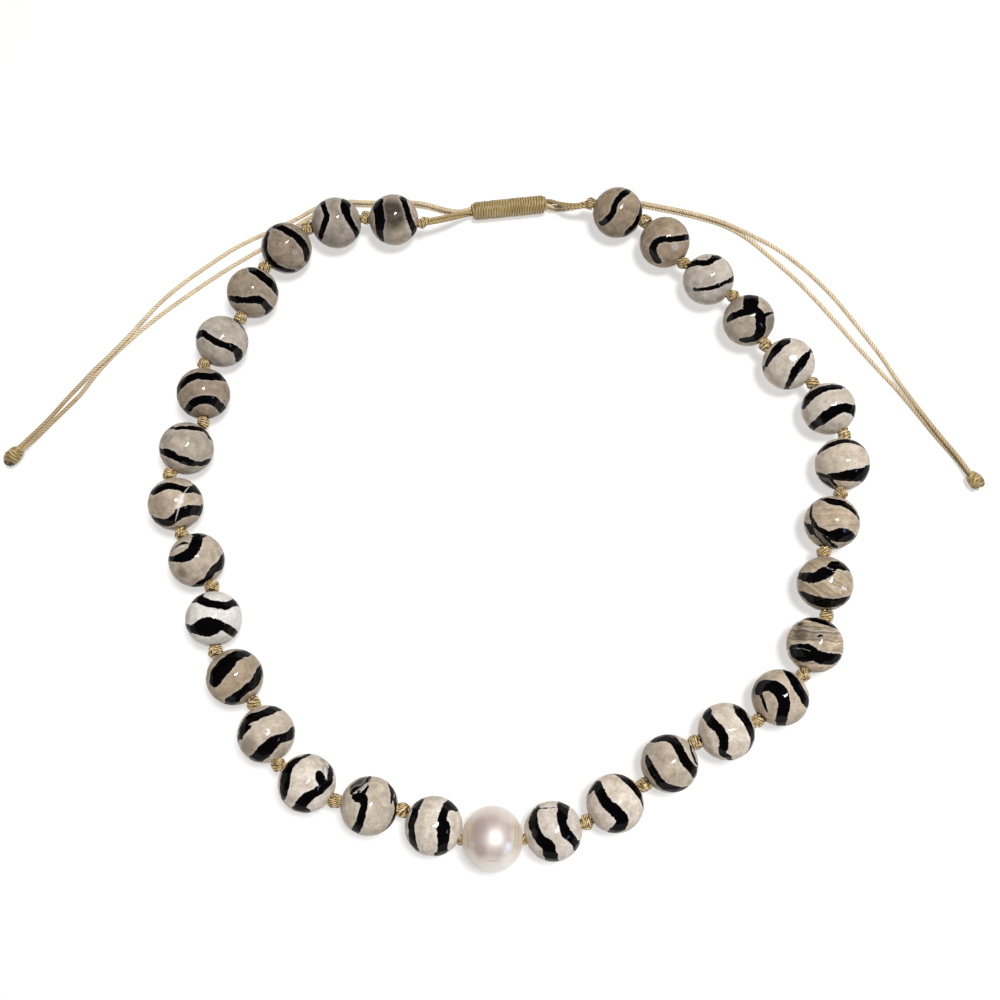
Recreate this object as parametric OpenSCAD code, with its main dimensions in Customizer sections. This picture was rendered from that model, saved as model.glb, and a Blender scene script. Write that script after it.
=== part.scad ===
// Agate bead necklace, laid flat: thirty round agate beads and one pearl are strung
// on a doubled cord, with a knot on each side of every bead. The two ends of the cord
// cross inside a wound sliding knot at the back and go on as loose tails, each of two
// strands that end in a knot. The pearl lies at the front, towards -Y. The beads, the
// sliding knot and the tails rest on the surface z = 0. Lengths are in millimetres.

/* [Beads] */
// Diameter of an agate bead
bead_d = 10; // [9.6:0.1:10.4]
// Diameter of the pearl
pearl_d = 10.5; // [10:0.1:10.6]
// Diameter of the hole drilled through each bead
hole_d = 2; // [1.8:0.1:2.6]

/* [Knotted cord] */
// Diameter of one strand of the doubled cord
strand_d = 0.8; // [0.6:0.05:0.85]
// Diameter of the knot between two beads
knot_d = 2.7; // [2.2:0.1:2.8]
// Distance between two agate beads along the cord, which the knot fills
knot_gap = 1.8; // [1.7:0.1:2.4]
// Diameter of the small tight knot on each side of the pearl
pearl_knot_d = 2; // [1.8:0.1:2]
// Distance between the pearl and the bead beside it
pearl_gap = 0.35; // [0.35:0.05:1]

/* [Sliding knot] */
// Outer diameter of the sliding knot
slide_d = 3.8; // [3.4:0.1:4.8]
// Length of the sliding knot
slide_l = 15.6; // [13:0.2:16]
// Diameter of the channel that both cord ends run through
slide_hole_d = 2.2; // [2.1:0.1:2.6]

/* [Tail knots] */
// Diameter of the knot at the end of each tail
end_knot_d = 3; // [2.6:0.1:3.6]
// Length of the knot at the end of the left tail
left_end_knot_l = 4.2; // [3:0.1:4.6]
// Length of the knot at the end of the right tail
right_end_knot_l = 3.4; // [3:0.1:4]

/* [Hidden] */
$fn = 48;

// Where the loop lies: centre of the pearl and of the sliding knot, and the direction
// of the sliding knot, in degrees from +X
pearl_at = [-3.3, -60.4];
slide_at = [-0.2, 63.1];
slide_turn = 6.5;

// Direction of each bead's hole in plan, in degrees from +X, walking away from the
// pearl along each side: [on the left side, on the right side], a row for each bead
LEFT = 0;
RIGHT = 1;
hole_turns = [
    [155, 15],
    [172, 31],
    [150, 38],
    [115, 18],
    [129, 43],
    [98, 64],
    [122, 88],
    [106, 70],
    [62, 81],
    [94, 116],
    [57, 138],
    [69, 118],
    [47, 142],
    [13, 129],
    [-6, 159]
];
beads_a_side = len(hole_turns);

// Routes of the tail strands over the surface, from the sliding knot to the end knot:
// [x, y, height of the strand's underside]. The first and last point are worked out.
left_outer_route = [
    [-10.5, 62.4, 1.3], [-13, 63, 0.9], [-17.5, 64.4, 0.8], [-29, 64.8, 0.8],
    [-36, 64.8, 0.8], [-40, 63.8, 0.3], [-44, 61.5, 0], [-50, 58.3, 0], [-56, 55, 0],
    [-62, 50.5, 0], [-67, 46.3, 0], [-71, 42.2, 0], [-74, 38, 0.4], [-76, 35, 0.75],
    [-78, 32.4, 0.9], [-80, 30, 0.9], [-82, 27.8, 0.85], [-84.5, 25.1, 0.35],
    [-87, 22.2, 0], [-90, 18.1, 0], [-93.4, 13.8, 0.3]
];
left_inner_route = [
    [-10.5, 62.3, 0.4], [-13, 62.9, 0], [-17.5, 64.2, 0], [-29, 64.6, 0],
    [-36, 64.4, 0], [-41, 61.9, 0], [-49, 55.9, 0], [-58, 49.7, 0], [-65, 44.3, 0],
    [-73, 37.4, 0], [-76, 34.4, 0], [-80, 29.9, 0], [-82.3, 26.7, 0], [-85, 22.4, 0],
    [-87.5, 19.4, 0], [-91, 15.3, 0], [-92.8, 13, 0.3]
];
right_outer_route = [
    [8.8, 63.4, 1.5], [11.5, 63.7, 0.85], [17.5, 65, 0.85], [24, 65.2, 0.8], [31, 63.9, 0.8],
    [38, 62.2, 0.8], [44, 60.2, 0.8], [49, 57.7, 0.7], [54, 55.2, 0], [59, 51.1, 0],
    [65, 44.5, 0], [70, 37.2, 0], [75, 29, 0], [77, 24.7, 0.45], [79.7, 19.9, 0.75],
    [83.4, 14, 0.85], [86.9, 8.7, 1]
];
right_inner_route = [
    [8.8, 63.3, 0.6], [11.3, 63.6, 0], [17.5, 64.8, 0], [24, 65, 0], [31, 63.7, 0],
    [38, 62, 0], [44, 60, 0], [49, 56.9, 0], [53.5, 52.6, 0], [59, 46.8, 0],
    [65, 39.1, 0], [70, 32.2, 0], [74, 26.9, 0], [76.2, 24.1, 0], [79.3, 19.6, 0],
    [83.1, 13.9, 0], [86.8, 8.6, 0.1]
];

// Centre and direction in plan of the knot at the end of each tail
left_end_at = [-95.8, 9.6];
left_end_turn = 232;
right_end_at = [89.1, 4.7];
right_end_turn = -54;

// Half sizes of the doubled cord's section: round in the open, and a tall narrow oval
// in the sliding knot, where the two ends pass side by side
cord_r = 0.9 * strand_d;
oval_w = strand_d / 2;
oval_h = strand_d;
side_gap = 0.06;
slide_step = oval_w + side_gap / 2;
cord_sides = 10;
strand_sides = 8;

slide_z = slide_d / 2;
end_knot_z = end_knot_d / 2;

// Unit vector in plan at an angle from +X, and the one square to it on its left
function along(turn) = [cos(turn), sin(turn), 0];
function across(turn) = [-sin(turn), cos(turn), 0];
function heading(a, b) = atan2(b.y - a.y, b.x - a.x);
function at_height(p, z) = [p.x, p.y, z];

// Bare cord between bead n and its neighbour nearer the pearl, and between bead n and
// the next knot outwards. Bead 1 is the one beside the pearl.
function gap_in(n) = n == 1 ? pearl_gap : knot_gap;
function half_pitch_in(n) = (bead_d + gap_in(n)) / 2;
half_pitch_out = (bead_d + knot_gap) / 2;

// Direction from the pearl to its first knot on one side
function pearl_turn(side) = side == LEFT ? 180 : 0;
first_knot_step = (pearl_d + pearl_gap) / 2;

function turn_of(side, n) = hole_turns[n - 1][side];

// Place in plan of knot k on one side, counted from the pearl. Bead n lies between
// knots n - 1 and n.
function knot_plan(side, k) =
    k == 0
        ? at_height(pearl_at, 0) + first_knot_step * along(pearl_turn(side))
        : knot_plan(side, k - 1) + (half_pitch_in(k) + half_pitch_out) * along(turn_of(side, k));

// The cord runs at the height of the beads' centres, and the two knots beside the
// pearl lie halfway between the heights of its neighbours' centres and its own
string_z = bead_d / 2;
pearl_knot_z = (bead_d + pearl_d) / 4;
function knot_at(side, k) = at_height(knot_plan(side, k), k == 0 ? pearl_knot_z : string_z);
function bead_at(side, n) =
    at_height(knot_plan(side, n - 1) + half_pitch_in(n) * along(turn_of(side, n)), string_z);

// A station of the knotted cord: [centre, direction, half width, half height]
function station(p, turn, w, h) = [p, turn, w, h];

// The outline of a cord at a station, square to its direction in plan
function ring(s, sides) =
    [for (i = [0:sides - 1]) let (a = 360 * (i + 0.5) / sides)
        s[0] + s[2] * cos(a) * across(s[1]) + [0, 0, s[3] * sin(a)]];

// A solid through the outlines of all stations, closed by its two end outlines
module sweep(stations, sides) {
    last = len(stations) - 1;
    points = [for (s = stations) each ring(s, sides)];
    walls = [for (j = [0:last - 1], i = [0:sides - 1])
        let (a = j * sides + i, b = j * sides + (i + 1) % sides)
            each [[a, a + sides, b], [b, a + sides, b + sides]]];
    caps = [[for (i = [0:sides - 1]) i], [for (i = [sides - 1:-1:0]) last * sides + i]];
    polyhedron(points, concat(walls, caps));
}

// Five stations of a knot whose cord comes in along turn_in and goes out along
// turn_out: the cord in the first hole, the knot's three widths and the next hole.
// reach is half the bare length, and belly the knot's radius.
shoulder = 0.92;
shoulder_reach = 0.72;
hole_entry = 0.2;
function knot_stations(p, turn_in, turn_out, reach, belly) =
    let (bend = turn_out - turn_in, side_reach = shoulder_reach * reach) [
        station(p - (reach + hole_entry) * along(turn_in), turn_in, cord_r, cord_r),
        station(p - side_reach * along(turn_in), turn_in + bend / 4,
                shoulder * belly, shoulder * belly),
        station(p, turn_in + bend / 2, belly, belly),
        station(p + side_reach * along(turn_out), turn_out - bend / 4,
                shoulder * belly, shoulder * belly),
        station(p + (reach + hole_entry) * along(turn_out), turn_out, cord_r, cord_r)
    ];

// Directions of the holes in the order in which the cord runs through them, from the
// last bead on the left, round the front, to the last bead on the right. They only
// grow, by one whole turn in all, so that no section flips over.
string_turns = concat(
    [for (n = [beads_a_side:-1:1]) turn_of(LEFT, n) + 180],
    [360],
    [for (n = [1:beads_a_side]) turn_of(RIGHT, n) + 360]
);
string_knots = concat(
    [for (k = [beads_a_side:-1:0]) knot_at(LEFT, k)],
    [for (k = [0:beads_a_side]) knot_at(RIGHT, k)]
);

// The cord leaves the outermost knots and the sliding knot in these directions
left_exit_turn = 192;
right_exit_turn = 552;
travel_turn = slide_turn + 180;

function knot_turns(k) = [
    k == 0 ? left_exit_turn : string_turns[k - 1],
    k == len(string_knots) - 1 ? right_exit_turn : string_turns[k]
];
function is_pearl_knot(k) = k == beads_a_side || k == beads_a_side + 1;
function all_knot_stations() =
    [for (k = [0:len(string_knots) - 1])
        let (turns = knot_turns(k), tight = is_pearl_knot(k))
            each knot_stations(string_knots[k], turns[0], turns[1],
                               (tight ? pearl_gap : knot_gap) / 2,
                               (tight ? pearl_knot_d : knot_d) / 2)];

// Face of the sliding knot where a cord end passes: end is -1 at the left face and 1
// at the right one, and lane is -1 in front and 1 behind
function slide_face(end, lane) =
    at_height(slide_at, slide_z) + end * slide_l / 2 * along(slide_turn)
        + lane * slide_step * across(slide_turn);

// A cubic curve between two ends with their own directions and slopes
function curve(a, b, c, d, t) =
    (1 - t) ^ 3 * a + 3 * (1 - t) ^ 2 * t * b + 3 * (1 - t) * t ^ 2 * c + t ^ 3 * d;

// The free stretch between the sliding knot and the outermost knot of one side. It
// leaves the sliding knot along its axis, climbs to the height of the beads' holes and
// comes into the knot along its own direction, and its oval section opens out to the
// round one on the way. rise is how soon it climbs.
face_pull = 1.8;
knot_pull = 3.5;
round_from = 0.62;
function stretch_stations(face, knot, face_turn, knot_turn, rise) =
    let (steps = 5,
         b = face + face_pull * along(face_turn) + [0, 0, rise],
         c = knot - knot_pull * along(knot_turn) - [0, 0, rise])
        [for (i = [1:steps - 1]) let (t = i / steps, open = min(1, t / round_from))
            station(curve(face, b, c, knot, t),
                    face_turn + (knot_turn - face_turn) * t,
                    oval_w + (cord_r - oval_w) * open, oval_h + (cord_r - oval_h) * open)];
function reversed(list) = [for (i = [len(list) - 1:-1:0]) list[i]];
function turned_about(stations) = [for (s = stations) station(s[0], s[1] + 180, s[2], s[3])];

knot_mouth = knot_gap / 2 + hole_entry;
left_outer_knot = string_knots[0] - knot_mouth * along(left_exit_turn);
right_outer_knot = string_knots[len(string_knots) - 1] + knot_mouth * along(right_exit_turn);

knotted_cord_stations = concat(
    [for (end = [1, -1]) station(slide_face(end, -1), travel_turn, oval_w, oval_h)],
    stretch_stations(slide_face(-1, -1), left_outer_knot, travel_turn, left_exit_turn, 0.3),
    all_knot_stations(),
    reversed(turned_about(stretch_stations(slide_face(1, 1), right_outer_knot,
                                           slide_turn, right_exit_turn - 540, 1))),
    [for (end = [1, -1]) station(slide_face(end, 1), travel_turn + 360, oval_w, oval_h)]
);

module agate_bead(side, n) {
    color("#cfc6b9")
        translate(bead_at(side, n))
            rotate([0, 90, turn_of(side, n)])
                drilled_ball(bead_d);
}

module pearl() {
    color("#efe9e4")
        translate(at_height(pearl_at, pearl_d / 2))
            rotate([0, 90, 0])
                drilled_ball(pearl_d);
}

// A ball with its hole along Z
module drilled_ball(d) {
    difference() {
        sphere(d = d);
        cylinder(d = hole_d, h = 2 * d, center = true);
    }
}

module knotted_cord() {
    color("#c3a96f")
        sweep(knotted_cord_stations, cord_sides);
}

// A wound barrel with rounded ends, bored for the four strands
module sliding_knot() {
    r = slide_d / 2;
    hole_r = slide_hole_d / 2;
    profile = [
        [hole_r, 0], [0.72 * r, 0], [0.94 * r, 0.4], [r, 1],
        [r, slide_l - 1], [0.94 * r, slide_l - 0.4], [0.72 * r, slide_l], [hole_r, slide_l]
    ];
    color("#a98f5c")
        translate(slide_face(-1, 0))
            rotate([0, 90, slide_turn])
                rotate_extrude()
                    polygon(profile);
}

// An end knot: narrow where the two strands enter, full past its middle and round at
// the end
module end_knot(at, turn, l) {
    r = end_knot_d / 2;
    mouth_r = 1.12 * strand_d;
    profile = [
        [0, 0], [mouth_r, 0], [0.86 * r, 0.24 * l], [0.98 * r, 0.45 * l], [r, 0.6 * l],
        [0.9 * r, 0.8 * l], [0.62 * r, 0.95 * l], [0.3 * r, l], [0, l]
    ];
    color("#9c8350")
        translate(end_knot_face(at, turn, l))
            rotate([0, 90, turn])
                rotate_extrude()
                    polygon(profile);
}
function end_knot_face(at, turn, l) = at_height(at, end_knot_z) - l / 2 * along(turn);

// One strand of a tail. It starts at its lane on the sliding knot's face, above (level
// 1) or below (level -1) its twin, and ends beside its twin on the end knot's face:
// seat is the side there, in degrees from the knot's left side upwards.
module tail_strand(end, level, route, face, knot_turn, seat) {
    r = strand_d / 2;
    twin_step = (strand_d + side_gap / 2) / 2;
    out_turn = end > 0 ? slide_turn : travel_turn;
    start = slide_face(end, -end) + [0, 0, level * twin_step];
    finish = face + twin_step * (cos(seat) * across(knot_turn) + [0, 0, sin(seat)]);
    path = concat([start], [for (p = route) at_height(p, p.z + r)], [finish]);
    last = len(path) - 1;
    color("#d2bd8b")
        sweep([for (i = [0:last])
            station(path[i],
                    i == 0 ? out_turn : i == last ? knot_turn : heading(path[i - 1], path[i + 1]),
                    r, r)], strand_sides);
}

module left_tail(level, route, seat) {
    face = end_knot_face(left_end_at, left_end_turn, left_end_knot_l);
    tail_strand(-1, level, route, face, left_end_turn, seat);
}

module right_tail(level, route, seat) {
    face = end_knot_face(right_end_at, right_end_turn, right_end_knot_l);
    tail_strand(1, level, route, face, right_end_turn, seat);
}

module left_end_knot() {
    end_knot(left_end_at, left_end_turn, left_end_knot_l);
}

module right_end_knot() {
    end_knot(right_end_at, right_end_turn, right_end_knot_l);
}

pearl();
knotted_cord();
sliding_knot();
left_end_knot();
right_end_knot();
left_tail(1, left_outer_route, 180);  // left_tail_outer
left_tail(-1, left_inner_route, 0);  // left_tail_inner
right_tail(1, right_outer_route, 90);  // right_tail_outer
right_tail(-1, right_inner_route, -90);  // right_tail_inner
for (n = [1:beads_a_side]) {
    agate_bead(LEFT, n);
    agate_bead(RIGHT, n);
}
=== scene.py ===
"""Agate bead necklace, laid flat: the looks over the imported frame.

Sizes are in millimetres until a mesh is made, where they turn to metres. +X is to the
right, +Y from the pearl to the sliding knot, and +Z up from the surface.
"""

import logging
import math
from collections.abc import Sequence
from dataclasses import dataclass
from enum import Enum

import bpy
import numpy as np
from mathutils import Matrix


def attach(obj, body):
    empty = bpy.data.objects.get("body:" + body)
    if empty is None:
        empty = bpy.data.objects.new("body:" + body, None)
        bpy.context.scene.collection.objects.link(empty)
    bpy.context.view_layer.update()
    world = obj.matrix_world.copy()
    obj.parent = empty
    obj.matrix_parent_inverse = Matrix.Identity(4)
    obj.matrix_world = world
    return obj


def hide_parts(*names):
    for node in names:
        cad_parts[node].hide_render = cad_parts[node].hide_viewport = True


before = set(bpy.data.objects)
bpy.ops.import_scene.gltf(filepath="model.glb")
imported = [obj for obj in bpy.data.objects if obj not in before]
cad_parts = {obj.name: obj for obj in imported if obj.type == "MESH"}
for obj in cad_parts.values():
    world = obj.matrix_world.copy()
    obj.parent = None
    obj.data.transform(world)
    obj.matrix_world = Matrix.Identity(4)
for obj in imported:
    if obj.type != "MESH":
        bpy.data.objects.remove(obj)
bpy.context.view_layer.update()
LOG = logging.getLogger("necklace")
MM = 0.001
FULL_TURN = 2 * math.pi
UP = np.array([0.0, 0.0, 1.0])

Array = np.ndarray
Material = bpy.types.Material
Piece = bpy.types.Object
Socket = bpy.types.NodeSocket
Faces = list[list[int]]
# a row of places (x, y, z) of a cord, or (right, up, width) of a line on a ball
Line = tuple[tuple[float, float, float], ...]
# soft patches on a ball: (right, up, radius, depth)
Patches = tuple[tuple[float, float, float, float], ...]


class Side(Enum):
    """The two sides of the loop, seen from above with the pearl in front."""

    LEFT = 0
    RIGHT = 1

    @property
    def turn(self) -> float:
        """Direction from the pearl to this side."""
        return 0.0 if self is Side.RIGHT else 180.0


class Slot(Enum):
    """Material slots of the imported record."""

    AGATE = "agate"
    PEARL = "pearl"
    CORD = "cord"


# Helpers


def linear(hex_colour: str) -> tuple[float, float, float, float]:
    """Turns an sRGB hex colour to linear values.

    Args:
        hex_colour: Six hex digits with a leading #.

    Returns:
        Linear red, green and blue, and full alpha.
    """
    parts = [int(hex_colour[i:i + 2], 16) / 255 for i in (1, 3, 5)]
    red, green, blue = (c / 12.92 if c <= 0.04045 else ((c + 0.055) / 1.055) ** 2.4 for c in parts)
    return red, green, blue, 1.0


def along(turn: float) -> Array:
    """Unit vector in plan, turn degrees from +X."""
    return np.array([math.cos(math.radians(turn)), math.sin(math.radians(turn)), 0.0])


def across(turn: float) -> Array:
    """Unit vector in plan, square to along(turn) on its left."""
    return along(turn + 90)


def at_height(plan: Sequence[float], z: float) -> Array:
    """A point over a place in plan."""
    return np.array([plan[0], plan[1], z])


def unit(vectors: Array) -> Array:
    """One vector, or one a row, at length one."""
    return vectors / np.linalg.norm(vectors, axis=-1, keepdims=True)


def fading(values: Array, full: float, fade: float) -> Array:
    """1 up to a value of full, and from there down to 0 over the length of fade."""
    return np.clip(1 - (values - full) / fade, 0, 1)


def run_of(points: Array) -> Array:
    """Length of a line of points up to each of them."""
    return np.concatenate([[0], np.cumsum(np.linalg.norm(np.diff(points, axis=0), axis=1))])


def even_steps(points: Array, step: float) -> Array:
    """Spaces points evenly along the line that they make."""
    run = run_of(points)
    wanted = np.linspace(0, run[-1], max(2, round(run[-1] / step) + 1))
    return np.column_stack([np.interp(wanted, run, points[:, axis]) for axis in range(3)])


def smooth_line(stations: Array, step: float) -> Array:
    """Runs one smooth curve through stations of uneven spacing.

    Args:
        stations: Points, one a row.
        step: Distance between the points returned, in the unit of the stations.

    Returns:
        Points along the curve, evenly spaced, with both ends kept.
    """
    spans = np.linalg.norm(np.diff(stations, axis=0), axis=1)[:, None]
    slopes = np.diff(stations, axis=0) / spans
    inner = (slopes[:-1] * spans[1:] + slopes[1:] * spans[:-1]) / (spans[:-1] + spans[1:])
    tangents = np.vstack([slopes[:1], inner, slopes[-1:]])
    dense = [stations[:1]]
    for i, span in enumerate(spans[:, 0]):
        t = np.linspace(0, 1, max(3, int(span / step * 3)))[1:, None]
        dense.append((2 * t**3 - 3 * t**2 + 1) * stations[i] + (t**3 - 2 * t**2 + t) * span * tangents[i]
                     + (3 * t**2 - 2 * t**3) * stations[i + 1] + (t**3 - t**2) * span * tangents[i + 1])
    return even_steps(np.vstack(dense), step)


def bezier(t: Array, *controls: Array) -> Array:
    """Points of a Bezier curve at the shares t of its length, a column."""
    while len(controls) > 1:
        controls = tuple((1 - t) * a + t * b for a, b in zip(controls, controls[1:]))
    return controls[0]


def around(start: Array, turn: float, reach: Array, radius: Array, angle: Array) -> Array:
    """Points round a level axis.

    Args:
        start: Where the axis starts.
        turn: Its direction in plan.
        reach: How far along it each point lies.
        radius: How far from it.
        angle: Where round it, from its left side over its top.

    Returns:
        The points, one a row.
    """
    return (start + reach[:, None] * along(turn) + (radius * np.cos(angle))[:, None] * across(turn)
            + (radius * np.sin(angle))[:, None] * UP)


def uneven(at: Array, amounts: tuple[float, float], rng: np.random.Generator) -> Array:
    """Random amounts, least to most, at each whole number up to the last, and between them."""
    whole = np.arange(math.ceil(at[-1]) + 1)
    return np.interp(at, whole, rng.uniform(*amounts, len(whole)))


class NodeGraph:
    """The node tree of one material or world."""

    def __init__(self, owner: bpy.types.ID) -> None:
        """Empties the owner's tree."""
        owner.use_nodes = True
        self.owner = owner
        self.tree = owner.node_tree
        self.tree.nodes.clear()

    def add(self, kind: str, inputs: dict | None = None, stops: Sequence | None = None,
            **settings: object) -> bpy.types.Node:
        """Adds one node.

        Args:
            kind: The node's type.
            inputs: Socket name or number to a constant, or to the socket that feeds it.
            stops: Places and hex colours of a colour ramp.
            **settings: The node's own properties.

        Returns:
            The node.
        """
        node = self.tree.nodes.new(kind)
        for name, value in settings.items():
            setattr(node, name, value)
        for key, value in (inputs or {}).items():
            if isinstance(value, Socket):
                self.tree.links.new(value, node.inputs[key])
            else:
                node.inputs[key].default_value = value
        for i, (place, colour) in enumerate(stops or ()):
            ramp = node.color_ramp.elements
            stop = ramp[i] if i < 2 else ramp.new(place)
            stop.position, stop.color = place, linear(colour)
        return node

    def place(self) -> Socket:
        """Where a point is on its piece, in metres."""
        return self.add("ShaderNodeTexCoord").outputs["Object"]

    def mark(self, name: str) -> Socket:
        """A number that each point of the mesh holds under this name."""
        return self.add("ShaderNodeAttribute", attribute_name=name).outputs["Fac"]

    def edge_on(self) -> Socket:
        """0 where the surface faces the eye, 1 where it is seen on edge."""
        return self.add("ShaderNodeLayerWeight", {"Blend": 0.5}).outputs["Facing"]

    def maths(self, operation: str, *values: Socket | float, clamp: bool = False) -> Socket:
        """One sum on numbers."""
        return self.add("ShaderNodeMath", dict(enumerate(values)), operation=operation,
                        use_clamp=clamp).outputs[0]

    def mapped(self, value: Socket, low: float, high: float, to_low: float = 0.0,
               to_high: float = 1.0) -> Socket:
        """Moves low to to_low and high to to_high, and holds the rest between them."""
        return self.add("ShaderNodeMapRange", dict(enumerate((value, low, high, to_low, to_high)))).outputs[0]

    def noise(self, at: Socket, size: float, detail: float, layered: bool = False, **more: float) -> Socket:
        """Noise of patches of one size, or of layers when it runs along one number."""
        key, dimensions = ("W", "1D") if layered else ("Vector", "3D")
        return self.add("ShaderNodeTexNoise", {key: at, "Scale": 1 / size, "Detail": detail, **more},
                        noise_dimensions=dimensions).outputs[0]

    def ramp(self, value: Socket, *stops: tuple[float, str]) -> Socket:
        """A colour for each value, by stops of (place, hex colour)."""
        return self.add("ShaderNodeValToRGB", {0: value}, stops).outputs[0]

    def between(self, share: Socket, none: float, full: Socket) -> Socket:
        """A number between two."""
        return self.add("ShaderNodeMix", {0: share, 2: none, 3: full}).outputs[0]

    def mix(self, share: Socket, under: Socket, over: Socket | str) -> Socket:
        """Lays a share of a colour, a socket or a hex colour, over another."""
        over = linear(over) if isinstance(over, str) else over
        return self.add("ShaderNodeMix", {0: share, 6: under, 7: over}, data_type="RGBA").outputs[2]

    def shade(self, colour: Socket, light: Socket) -> Socket:
        """Multiplies a colour by a number."""
        grey = self.add("ShaderNodeCombineColor", {0: light, 1: light, 2: light}).outputs[0]
        return self.add("ShaderNodeMix", {0: 1.0, 6: colour, 7: grey}, data_type="RGBA",
                        blend_type="MULTIPLY").outputs[2]

    def bump(self, height: Socket, strength: float, relief_mm: float) -> Socket:
        """Relief of the surface."""
        return self.add("ShaderNodeBump", {
            "Height": height, "Strength": strength, "Distance": relief_mm * MM}).outputs[0]

    def surface(self, inputs: dict) -> Material:
        """Ends the material in its surface."""
        shader = self.add("ShaderNodeBsdfPrincipled", inputs)
        self.add("ShaderNodeOutputMaterial", {0: shader.outputs[0]})
        return self.owner


class ThreadMesh:
    """One mesh made of many tubes, with the twist of the thread in its UV map.

    The map's U counts the plies that pass a point, and its V is the length in mm.
    """

    def __init__(self) -> None:
        """Starts with no tube."""
        self.points: list[Array] = []
        self.faces: Faces = []
        self.twist: list[Array] = []
        self.char_wax_and_shade: list[Array] = []
        self.count = 0

    def tube(self, line: Array, diameter: float, *, sides: int = 8, plies: int = 3,
             pitch: float = 1.6, lobe: float = 0.0, hand: int = 1, char_wax_and_shade: Array | float = 0.0) -> None:
        """Adds a tube round a line, closed at both ends.

        Args:
            line: Points, evenly spaced, in mm.
            diameter: Across the crests of the plies, or one value for each point.
            sides: Points round the tube.
            plies: Strands that the thread is twisted from.
            pitch: Length of one whole turn of the twist.
            lobe: How far the plies stand proud, as a share of the radius.
            hand: 1 or -1, the way of the twist.
            char_wax_and_shade: How far the thread is darkened towards its dark colour at each point: charring
                at a cut end, wax on a tail, and painted shade on a core.
        """
        tangents, run = unit(np.gradient(line, axis=0)), run_of(line)
        normal = np.cross(tangents[0], UP)
        if np.linalg.norm(normal) < 0.1:
            normal = np.cross(tangents[0], [1.0, 0.0, 0.0])
        normals = []
        for tangent in tangents:
            normal = unit(normal - tangent * normal.dot(tangent))
            normals.append(normal)
        normals = np.array(normals)
        sideways = np.cross(tangents, normals)
        angle = np.arange(sides) / sides * FULL_TURN
        radius = np.broadcast_to(np.asarray(diameter, float) / 2, (len(line),))[:, None]
        phase = plies * (angle[None, :] / FULL_TURN - hand * run[:, None] / pitch)
        radius = radius * (1 - lobe * (1 - np.abs(np.sin(math.pi * phase))))
        ring = (line[:, None] + radius[..., None] * (np.cos(angle)[None, :, None] * normals[:, None]
                + np.sin(angle)[None, :, None] * sideways[:, None]))
        self.points.append(ring.reshape(-1, 3))
        self.char_wax_and_shade.append(np.repeat(np.broadcast_to(char_wax_and_shade, (len(line),)), sides))
        j, i = np.meshgrid(np.arange(len(line) - 1), np.arange(sides), indexing="ij")
        nxt = (i + 1) % sides
        quads = np.stack([j * sides + i, j * sides + nxt, (j + 1) * sides + nxt, (j + 1) * sides + i], -1)
        turns = np.stack([i, i + 1, i + 1, i], -1) / sides
        rows = np.stack([j, j, j + 1, j + 1], -1)
        plies_passed = plies * (turns - hand * run[rows] / pitch)
        self.twist.append(np.stack([plies_passed, run[rows]], -1).reshape(-1, 2))
        self.faces += (quads.reshape(-1, 4) + self.count).tolist()
        for row, order in ((0, range(sides - 1, -1, -1)), (len(line) - 1, range(sides))):
            self.faces.append([self.count + row * sides + k for k in order])
            self.twist.append(np.tile([0.5, run[row]], (sides, 1)))
        self.count += len(line) * sides

    def core(self, centre: Array, axis: Array, half_length: float, radius: float,
             rows: int = 7, sides: int = 14, char_wax_and_shade: float = 0.25) -> None:
        """Adds a plain ball, blunt at its ends, under the windings to close the gaps; it is darkened as
        painted shade in the gaps.
        """
        blunt = 0.2
        reach = np.cos(np.linspace(math.pi - blunt, blunt, rows))
        line = centre + reach[:, None] * half_length * axis
        self.tube(line, 2 * radius * np.sqrt(1 - reach**2), sides=sides, char_wax_and_shade=char_wax_and_shade)

    def piece(self, name: str, material: Material) -> Piece:
        """Makes the piece.

        Args:
            name: The piece's name.
            material: What it is made of.

        Returns:
            The piece.
        """
        obj = mesh_piece(name, np.vstack(self.points), self.faces, material)
        layer = obj.data.uv_layers.new(name="twist")
        layer.data.foreach_set("uv", np.vstack(self.twist).astype(np.float32).ravel())
        mark(obj, char_wax_and_shade=np.concatenate(self.char_wax_and_shade))
        return obj


def mesh_piece(name: str, points: Array, faces: Faces, material: Material) -> Piece:
    """Makes a smooth shaded mesh piece.

    Args:
        name: The piece's name.
        points: Its points, in mm.
        faces: Its faces, as numbers of points.
        material: What it is made of.

    Returns:
        The piece, linked to the scene.
    """
    mesh = bpy.data.meshes.new(name)
    mesh.from_pydata((points * MM).tolist(), [], faces)
    mesh.shade_smooth()
    mesh.materials.append(material)
    return in_scene(name, mesh)


def in_scene(name: str, data: bpy.types.ID) -> Piece:
    """Makes an object of its data and links it to the scene."""
    obj = bpy.data.objects.new(name, data)
    bpy.context.scene.collection.objects.link(obj)
    return obj


def mark(obj: Piece, **marks: Array | float) -> None:
    """Stores numbers for each point of a piece, which its material reads."""
    for name, values in marks.items():
        layer = obj.data.attributes.new(name, "FLOAT", "POINT")
        layer.data.foreach_set("value", np.broadcast_to(values, len(obj.data.vertices)).astype(np.float32))


def settle(obj: Piece, slot: Slot, *replaced: str) -> Piece:
    """Rides a piece on the necklace's body, in place of its CAD nodes."""
    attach(obj, "root")
    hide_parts(*replaced)
    LOG.info("%s: %d faces, replaces %s", obj.name, len(obj.data.polygons), ", ".join(replaced))
    return obj


# Finishes


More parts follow.
